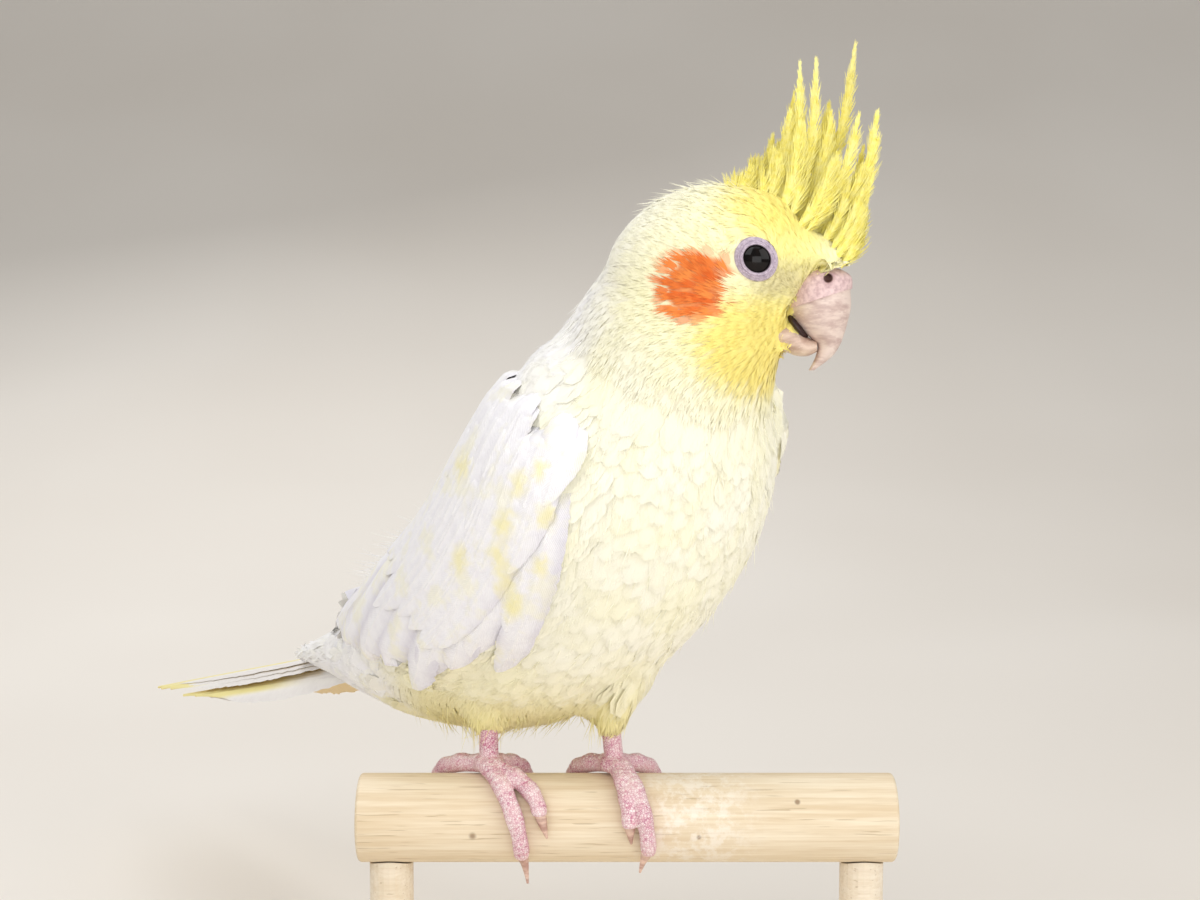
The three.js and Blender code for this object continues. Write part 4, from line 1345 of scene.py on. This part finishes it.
# %% Strands with Geometry Nodes
def strand_tree(finish):
    """A node tree: points with a way and a length become thin cones with real faces."""
    tree = bpy.data.node_groups.new("strands", "GeometryNodeTree")
    tree.interface.new_socket("Geometry", in_out="INPUT", socket_type="NodeSocketGeometry")
    tree.interface.new_socket("Thickness", in_out="INPUT", socket_type="NodeSocketFloat")
    tree.interface.new_socket("Geometry", in_out="OUTPUT", socket_type="NodeSocketGeometry")
    start, end = tree.nodes.new("NodeGroupInput"), tree.nodes.new("NodeGroupOutput")

    def add(kind, links, out=0, **settings):
        node = tree.nodes.new(kind)
        for key, value in settings.items():
            setattr(node, key, value)
        for key, value in links.items():
            if isinstance(value, bpy.types.NodeSocket):
                tree.links.new(value, node.inputs[key])
            else:
                node.inputs[key].default_value = value
        return node.outputs[out]

    way = add("GeometryNodeInputNamedAttribute", {"Name": "way"}, data_type="FLOAT_VECTOR")
    length = add("GeometryNodeInputNamedAttribute", {"Name": "length"}, data_type="FLOAT")
    cone_sizes = {"Radius Top": 0.04, "Radius Bottom": 1.0, "Depth": 1.0}
    cone = add("GeometryNodeMeshCone", {"Vertices": 5, "Side Segments": 3, **cone_sizes})
    turned = add("FunctionNodeAlignRotationToVector", {"Vector": way}, axis="Z")
    thickness = start.outputs["Thickness"]
    size = add("ShaderNodeCombineXYZ", {"X": thickness, "Y": thickness, "Z": length})
    points = add("GeometryNodeMeshToPoints", {"Mesh": start.outputs["Geometry"]})
    copies = {"Points": points, "Instance": cone, "Rotation": turned, "Scale": size}
    strands = add("GeometryNodeInstanceOnPoints", copies)
    real = add("GeometryNodeRealizeInstances", {"Geometry": strands})
    done = add("GeometryNodeSetMaterial", {"Geometry": real, "Material": finish})
    tree.links.new(done, end.inputs["Geometry"])
    return tree


def grow_strands(name, slot, mask, count, rise, length, seed):
    """Strands at some of the roots in a mask, rise being how far they stand off the coat."""
    draw = np.random.default_rng(seed)
    pick = draw.choice(np.flatnonzero(mask), count)
    out = root_normals[pick]
    lifted = ways[pick] + out * rise * draw.uniform(0.3, 1.3, (count, 1))
    way = unit(lifted + draw.normal(0, 0.16, (count, 3)))
    long = length * draw.uniform(0.6, 1.3, count)
    holder_mesh = bpy.data.meshes.new(f"{name}_roots")
    holder_mesh.from_pydata(((roots[pick] + out * 0.3) * MM).tolist(), [], [])
    carry(holder_mesh, {"way": way, "length": long * MM, "root": roots[pick] * MM})
    holder = bpy.data.objects.new(f"{name}_roots", holder_mesh)
    bpy.context.collection.objects.link(holder)
    nodes = holder.modifiers.new("strands", "NODES")
    nodes.node_group = STRANDS
    thickness = next(i for i in STRANDS.interface.items_tree if i.name == "Thickness").identifier
    nodes[thickness] = STRAND_RADIUS * MM
    seen = holder.evaluated_get(bpy.context.evaluated_depsgraph_get())
    made = bpy.data.meshes.new_from_object(seen)
    made.calc_loop_triangles()
    points = np.array([v.co for v in made.vertices]) / MM
    faces = np.array([t.vertices for t in made.loop_triangles])
    root = np.empty(3 * len(points), np.float32)
    made.attributes["root"].data.foreach_get("vector", root)
    root = root.reshape(-1, 3)
    bpy.data.objects.remove(holder)
    bpy.data.meshes.remove(made)
    uv = np.clip(unwrap(root / MM) + (points - root / MM)[:, [0, 2]] * 0.0003, 0, 1)
    height = gap_to(points, root / MM)
    piece = build(name, points, faces, feather, uv=uv, root=root, along=height / length,
                  side=0 * height, chance=0.5 + 0 * height)
    return place(piece, slot)


# %% Strands where the bird is ruffled
STRANDS = strand_tree(feather)
STRAND_RADIUS = 0.09
RUFFLE = np.array([-40, 20, 97])  # where feathers stand up behind the wing
off_head = (roots - HEAD_CENTRE) @ UP
off_front = (roots - HEAD_CENTRE) @ FORWARD
crown = head & (off_head > 8) & (off_front < 6)
nape = back & (roots[:, 2] > 118) & (roots[:, 2] < 140)
rump = (root_share > 0.14) & (root_share < 0.3) & (np.abs(root_turn) < 50) & ~on_thigh
tuft = (gap_to(roots, RUFFLE) < 11) & (roots[:, 1] > 8)
ankles = on_thigh & (roots[:, 2] < 68)
RUFFLED = [  # name, slot, where, how many, rise, length, seed
    ("crown", "plumage_cream", crown, 130, 0.35, 2.8, 31),
    ("nape", "plumage_white", nape, 260, 0.55, 4.5, 32),
    ("rump", "plumage_white", rump, 420, 0.7, 6.5, 33),
    ("tuft", "plumage_white", tuft, 110, 1.0, 8.5, 36),
    ("thighs", "plumage_cream", ankles, 300, 0.35, 5.5, 34),
    ("breast", "plumage_cream", breast, 700, 0.16, 5.0, 35),
]
for name, *rest in RUFFLED:
    grow_strands(f"strands_{name}", *rest)

# %% [markdown]
# ## Wings, tail and crest
#
# The long feathers are built one by one. Each is a thin leaf along its own line, with a
# raised shaft, slightly uneven rims and the fine slanting lines of its barbs.

# %% One long feather
FLIGHT = [  # root and tip as share of the trunk and turn from the back, and half width
    ((0.69, 105), (0.42, 130.5), 3.0), ((0.66, 101), (0.475, 121), 3), ((0.6, 98), (0.425, 118), 3.4),
    ((0.56, 92), (0.393, 118), 3.4), ((0.53, 87), (0.352, 115), 3.6), ((0.5, 82), (0.322, 119), 3.4),
    ((0.47, 74), (0.3, 105), 3.8), ((0.44, 66), (0.262, 97), 3.8), ((0.41, 56), (0.21, 82), 4),
    ((0.38, 44), (0.17, 62), 4), ((0.36, 32), (0.145, 42), 4),
]


def vane(line, out, half, thick=0.22, around=9, rough=0.03, droop=0.03, seed=0):
    """A closed leaf along a line: half gives its half width at each place of the line."""
    draw = np.random.default_rng(seed)
    way = unit(np.gradient(line, axis=0))
    across = unit(np.cross(way, out))
    up = np.cross(across, way)
    x = np.concatenate([np.linspace(-1, 1, around), np.linspace(1, -1, around)[1:-1]])
    upper = np.concatenate([np.ones(around), -np.ones(around - 2)])
    torn = 1 + rough * draw.normal(0, 1, (len(line), 2))
    rim = np.where(x[None, :] < 0, torn[:, :1], torn[:, 1:])
    wide = half[:, None] * x[None, :] * np.where(np.abs(x) > 0.6, rim, 1)
    lens = thick * (1 - x**2) ** 0.6 * np.where(upper > 0, 1, -0.6)
    shaft = 0.16 * np.exp(-((wide / 0.28) ** 2)) * (upper > 0)
    high = lens[None, :] + shaft - (wide**2) * droop
    rings = line[:, None] + across[:, None] * wide[..., None] + up[:, None] * high[..., None]
    points, faces = closed_rings(rings)
    length = np.linalg.norm(np.diff(line, axis=0), axis=1).sum()
    along = np.concatenate([np.repeat(np.linspace(0, length, len(line)), len(x)), [0, length]])
    side = np.concatenate([wide.ravel(), [0, 0]])
    lie = np.vstack([np.repeat(up, len(x), axis=0), up[:1], up[-1:]])
    return points, faces, along, side, lie


def evened(rows, reach=5):
    """Rows with short kinks along them taken out."""
    padded = np.pad(rows, ((reach, reach), (0, 0)), mode="edge")
    return sum(padded[k:k + len(rows)] for k in range(2 * reach + 1)) / (2 * reach + 1)


def draped(line, high):
    """A line laid over the skin at a height that starts inside the coat, and the way off the skin."""
    places, out = surface_at(line)
    out = unit(evened(out))
    rise = high * share_of(np.linspace(0, 1, len(line)), -0.05, 0.35)
    return evened(places) + out * rise[:, None], out


# %% Finish of the long feathers
def long_feather_finish(name, light, shadow, striped=None):
    """Barbs slant from the shaft; attributes along and side are millimetres on the feather."""
    finish, spot, surface = material(name, Roughness=0.62, Sheen_Weight=0.2)
    surface.inputs["Specular IOR Level"].default_value = 0.3
    along = spot.attribute("along")
    side = spot.attribute("side")
    reach = side.math("ABSOLUTE")
    barbs = ((along - reach * 1.5) * 11.0).math("SINE") * 0.5 + 0.5
    uneven = spot.noise(500, 3, 0.6)
    colour = (uneven.ramp(0.35, 0.7) * 0.22 + reach.ramp(1.0, 3.6) * 0.6).mix(light, shadow)
    colour = (barbs * 0.14).mix(colour, shadow)
    shaft = reach.ramp(0.4, 0.12)
    colour = (shaft * 0.12).mix(colour, tint("fffdf2"))
    if striped:
        colour = striped(spot, along, reach, colour)
    wire(colour, surface, "Base Color")
    bump(barbs + uneven * 0.6, surface, 0.06, 0.45)
    return finish


PEARLS = [  # yellow spots on a young bird's wing: x, z and half width in millimetres
    (-17.8, 112.9, 1.4), (-20.7, 105.5, 1.6), (-21.6, 100.6, 1.5), (-20.2, 96.1, 1.9), (-19.4, 91.6, 1.5),
    (-28.0, 114.6, 1.5), (-28.4, 98.9, 1.6), (-14.7, 98.9, 1.3), (-13.3, 107.8, 1.2), (-14.7, 115.2, 1.2),
]


def pearled(spot, _along, _reach, colour):
    """Soft yellow clouds and spots, the spots on the near wing only."""
    cloud = spot.noise(150, 3, 0.6)
    colour = (cloud.ramp(0.48, 0.66) * 0.3).mix(colour, tint("f3eeb4"))
    near_side = spot.along((0, 1, 0)).ramp(16.0, 4.0)
    drift = (spot.noise(420, 2, 0.6) - 0.5) * 3.5
    for x, z, size in PEARLS:
        ahead = spot.along((1, 0, 0), (x * MM, 0, 0)) + drift
        high = (spot.along((0, 0, 1), (0, 0, z * MM)) + drift) * 0.7
        away = (ahead * ahead + high * high) ** 0.5
        colour = (away.ramp(size * 1.7, size * 0.1) * near_side * 0.5).mix(colour, tint("f3e778"))
    return colour


def striped_tail(spot, along, reach, colour):
    """A yellow stripe beside each shaft, and a darker, warmer yellow wherever the surface faces down."""
    stripe = reach.ramp(2.6, 0.9) * along.ramp(20.0, 50.0)
    colour = (stripe * 0.75).mix(colour, tint("f0df62"))
    # Darker, warmer yellow on every face whose normal points down.
    under = spot.make("ShaderNodeNewGeometry", None, {}, out=1).along((0, 0, -0.001)).ramp(0.15, 0.7)
    return (under * 0.65).mix(colour, tint("ecc55e"))


def long_feathers(name, slot, replaced, finish, feathers):
    """Several vanes as one piece."""
    points, faces = joined([feather[:2] for feather in feathers])
    along, side = (np.concatenate([feather[k] for feather in feathers]) for k in (2, 3))
    lie = np.vstack([feather[4] for feather in feathers])
    uv = np.clip(unwrap(points), 0, 1)
    piece = build(name, points, faces, finish, uv=uv, lie=lie, own=1.5, along=along, side=side)
    place(piece, slot, *replaced)


# %% Flight feathers and coverts
flight_white = long_feather_finish("flight_white", tint("f4f3f6"), tint("d3cfdb"), pearled)
share = np.linspace(0, 1, 56)
flight_width = smooth_run([0.55, 0.85, 1, 1.04, 1.0, 0.86, 0.2], share)[:, 0]
covert_share = np.linspace(0, 1, 30)
covert_width = smooth_run([0.25, 0.8, 1.05, 1.05, 0.9, 0.6, 0.15], covert_share)[:, 0]
COVERTS = [  # root, reach, lift, half width
    (0.50, 0.17, 1.95, 3.0), (0.55, 0.18, 2.0, 3.0), (0.6, 0.16, 2.05, 2.8),
    (0.64, 0.15, 2.05, 2.7), (0.68, 0.13, 2.0, 2.6), (0.72, 0.11, 1.9, 2.6),
]
COVERT_COUNT, COVERT_FIRST, COVERT_SPAN = 20, 9, 97  # in each row; turns in degrees
COVERT_STEP, FLIGHT_STEP = 0.015, 0.05  # rise from one feather to the next
FLIGHT_LIFT, FLIGHT_BROADER = 1.5, 1.12
OFF_FLANK = 1.5  # height at which a feather's line is laid out before it is draped


def tucked(turn, name):
    """The turns of a wing's feathers, pulled back at its front edge."""
    return turn - TUCK[name] * share_of(turn, 22, 106)


covert_draw = np.random.default_rng(90)
for name, side in SIDES.items():
    feathers = []
    for number, (root, tip, half) in enumerate(FLIGHT):
        t = root[0] + (tip[0] - root[0]) * share
        turn = side * tucked(root[1] + (tip[1] - root[1]) * share, name)
        line, out = draped(flank(t, turn, OFF_FLANK), FLIGHT_LIFT + FLIGHT_STEP * number)
        wide = half * FLIGHT_BROADER * flight_width
        feathers.append(vane(line, out, wide, droop=0.06, seed=number + 20))
    for row, (root, reach, rise, half) in enumerate(COVERTS):
        for number in range(COVERT_COUNT):
            place_across = (number + 0.5 * (row % 2)) / COVERT_COUNT
            start = COVERT_FIRST + COVERT_SPAN * place_across + covert_draw.normal(0, 1.2)
            base = root + covert_draw.normal(0, 0.012)
            if start < 50 and row > 2:
                base = base - 0.002 * (50 - start)
            t = base + 0.05 * place_across - reach * covert_draw.uniform(0.8, 1.2) * covert_share
            turn = side * tucked(start + 6 * covert_share, name)
            line, out = draped(flank(t, turn, OFF_FLANK), rise + COVERT_STEP * number)
            wide = half * covert_width
            feathers.append(vane(line, out, wide, 0.17, droop=0.06, seed=200 * row + number))
    long_feathers(f"flight_{name}", "plumage_white", [f"wing_{name}"], flight_white, feathers)

# %% Tail
TAIL = {"root": (-50, 43, 71.2), "tip": (-122.6, 160, 37.2)}
TAIL_STEPS = 60
TAIL_LENGTHS = [1, 0.94, 0.85, 0.75, 0.66, 0.57]
TAIL_DROP = [0, -0.6, -1.2, -3.6, -4.2, -4.8]
tail_white = long_feather_finish("tail_white", tint("f8f5ef"), tint("e4dfdc"), striped_tail)
tail_root, tail_way = np.array(TAIL["root"], float), np.array(TAIL["tip"], float) - TAIL["root"]
tail_side = unit(np.cross(tail_way, UP))
tail_top = np.cross(tail_side, unit(tail_way))
feathers = []
for pair, reach in enumerate(TAIL_LENGTHS):
    for way in (-1, 1):
        share = np.linspace(0, 1, TAIL_STEPS)
        line = tail_root + tail_way * (share * reach)[:, None]
        line = line + tail_side * (way * (1.1 + pair * (0.8 + 1.1 * share * reach)))[:, None]
        line = line + UP * (TAIL_DROP[pair] - (0.25 if way > 0 else 0))
        half = smooth_run([2.6, 3.6, 4.3, 4.6, 4.4, 3.6, 1.7, 0.3], share)[:, 0]
        out = np.tile(tail_top + tail_side * way * 0.12 * pair, (TAIL_STEPS, 1))
        feathers.append(vane(line, out, half, thick=0.3, droop=0.055, seed=40 + 2 * pair + way))
long_feathers("tail_feathers", "plumage_white", ["tail"], tail_white, feathers)

# %% [markdown]
# ## Crest
#
# The crest's feathers stand up and bow forward. Each has a shaft and loose barbs: thin
# tapering tubes on both sides of the shaft, slanted towards its tip.

# %% Barbs along a shaft
CREST = [  # root and tip (forward, right, up), how far it bows, half width
    ((2, 0.8, 10.5), (4.8, 1.6, 15.2), 0.2, 1.5), ((4.5, -1.2, 10.5), (8, -2.2, 20.6), 0.6, 1.5),
    ((6, 1.6, 10), (10.7, 2.6, 20.5), 0.8, 1.5), ((7, -1.4, 9.5), (11.4, -2, 27.3), 1.2, 1.6),
    ((8.5, 0.4, 9), (12.4, 0.6, 31.7), 2, 1.6), ((10, 1.4, 8.5), (15, 1.8, 32.1), 2.2, 1.6),
    ((11.5, -0.8, 7.5), (21.1, -1, 34.7), 3, 1.7), ((13, 1.6, 6.5), (21.8, 2.2, 23.2), 2.4, 1.7),
    ((14.5, -1.2, 5), (22.6, -1.6, 18.4), 2.2, 1.6), ((15.2, 0.4, 4.4), (24.7, 0.4, 23.8), 3.4, 1.8),
]


CREST_SINK = 2.2  # how far the shafts start below the crown


def crest_line(feather, steps=48):
    """The middle of a crest feather's shaft."""
    (f0, r0, u0), (f1, r1, u1), bow, _ = feather
    s = np.linspace(0, 1, steps)
    u0 = u0 - CREST_SINK
    forward = f0 + (f1 - f0) * s + bow * np.sin(math.pi * s) * (1 - 0.4 * s)
    return on_head(forward, r0 + (r1 - r0) * s, u0 + (u1 - u0) * s)


def crest_feather(feather, number):
    """Shaft and barbs of one crest feather as arrays: every barb is a thin closed spike."""
    draw = np.random.default_rng(60 + number)
    line = crest_line(feather)
    way = unit(np.gradient(line, axis=0))
    length = np.linalg.norm(np.diff(line, axis=0), axis=1).sum()
    out = unit(RIGHT + 0.3 * draw.normal(0, 1, 3))
    across = unit(np.cross(way, out))
    bodies = [tube(line, np.linspace(0.22, 0.08, len(line)), 8)]
    count = int(length * 5.5)
    for side in (-1, 1):
        for k in range(count):
            s = 0.03 + 0.97 * (k + draw.random()) / count
            spot = s * (len(line) - 1)
            i = min(int(spot), len(line) - 2)
            base = line[i] + (line[i + 1] - line[i]) * (spot - i)
            wide = feather[3] * (0.75 + 0.5 * math.sin(math.pi * min(s * 1.15, 1))) * draw.uniform(0.85, 1.15)
            lean = math.radians(draw.normal(28 - 12 * s, 5))
            reach = wide / math.sin(math.radians(32)) * (1 - 0.55 * max(s - 0.75, 0) / 0.25)
            flat = way[i] * math.cos(lean) + side * across[i] * math.sin(lean)
            toward = unit(flat + out * draw.normal(0, 0.10))
            share = np.linspace(0, 1, 5)[:, None]
            curl = side * across[i] * 0.14 * reach * share**2
            curl = curl + out * draw.normal(0, 0.05) * reach * share**2
            barb = base + toward * reach * share - curl
            bodies.append(tube(barb, np.linspace(0.11, 0.02, 5), 4))
    return joined(bodies)


def crest_finish():
    """Yellow, paler at the tips."""
    finish, spot, surface = material("crest_yellow", Roughness=0.6, Sheen_Weight=0.3)
    fine = spot.noise(900, 2, 0.6)
    high = spot.along(UP, HEAD_CENTRE * MM)
    colour = fine.ramp(0.3, 0.7).mix(tint("fbf39a"), tint("f6e96e"))
    colour = (high.ramp(24.0, 34.0) * 0.45).mix(colour, tint("fbf6b8"))
    wire(colour, surface, "Base Color")
    return finish


def crest_filler(count=64):
    """Shorter feathers that close the foot of the crest."""
    draw = np.random.default_rng(77)
    for k in range(count):
        (f0, r0, u0), (f1, _, u1), bow, half = CREST[int(k / count * len(CREST))]
        reach = draw.uniform(0.22, 0.66)
        f0, r0 = f0 + draw.uniform(-1.2, 1.2), r0 + draw.uniform(-1.8, 1.8)
        tip = (f0 + (f1 - f0) * reach + draw.normal(0, 0.8), r0 * 1.2, u0 + (u1 - u0) * reach)
        yield (f0, r0, u0 + 0.8), tip, bow * 0.5, half * 1.2


def forehead_filler(count=30):
    """Feathers at the front of the crest, down to the cere."""
    draw = np.random.default_rng(78)
    for _ in range(count):
        s = draw.random()
        root = (19.4 - 3.6 * s, draw.uniform(-2.6, 2.6), 1.4 + 4.2 * s)
        tip = (21.6 + 2.4 * s + draw.normal(0, 0.4), root[1] * 1.15, 5.0 + 10.5 * s + draw.normal(0, 0.8))
        yield root, tip, 1.0, 1.4


# %% The whole crest
crest_rows = CREST + list(crest_filler()) + list(forehead_filler())
points, faces = joined([crest_feather(row, number) for number, row in enumerate(crest_rows)])
aside = (points - HEAD_CENTRE) @ RIGHT
lie = np.outer(np.sign(aside) * np.minimum(np.abs(aside) * 0.6 + 0.4, 1.2), RIGHT)
lie = unit(lie + 0.35 * UP + 0.25 * FORWARD)
crest = build("crest_feathers", points, faces, crest_finish(), uv=unwrap(points), lie=lie, own=0.7)
place(crest, "plumage_yellow", "crest")
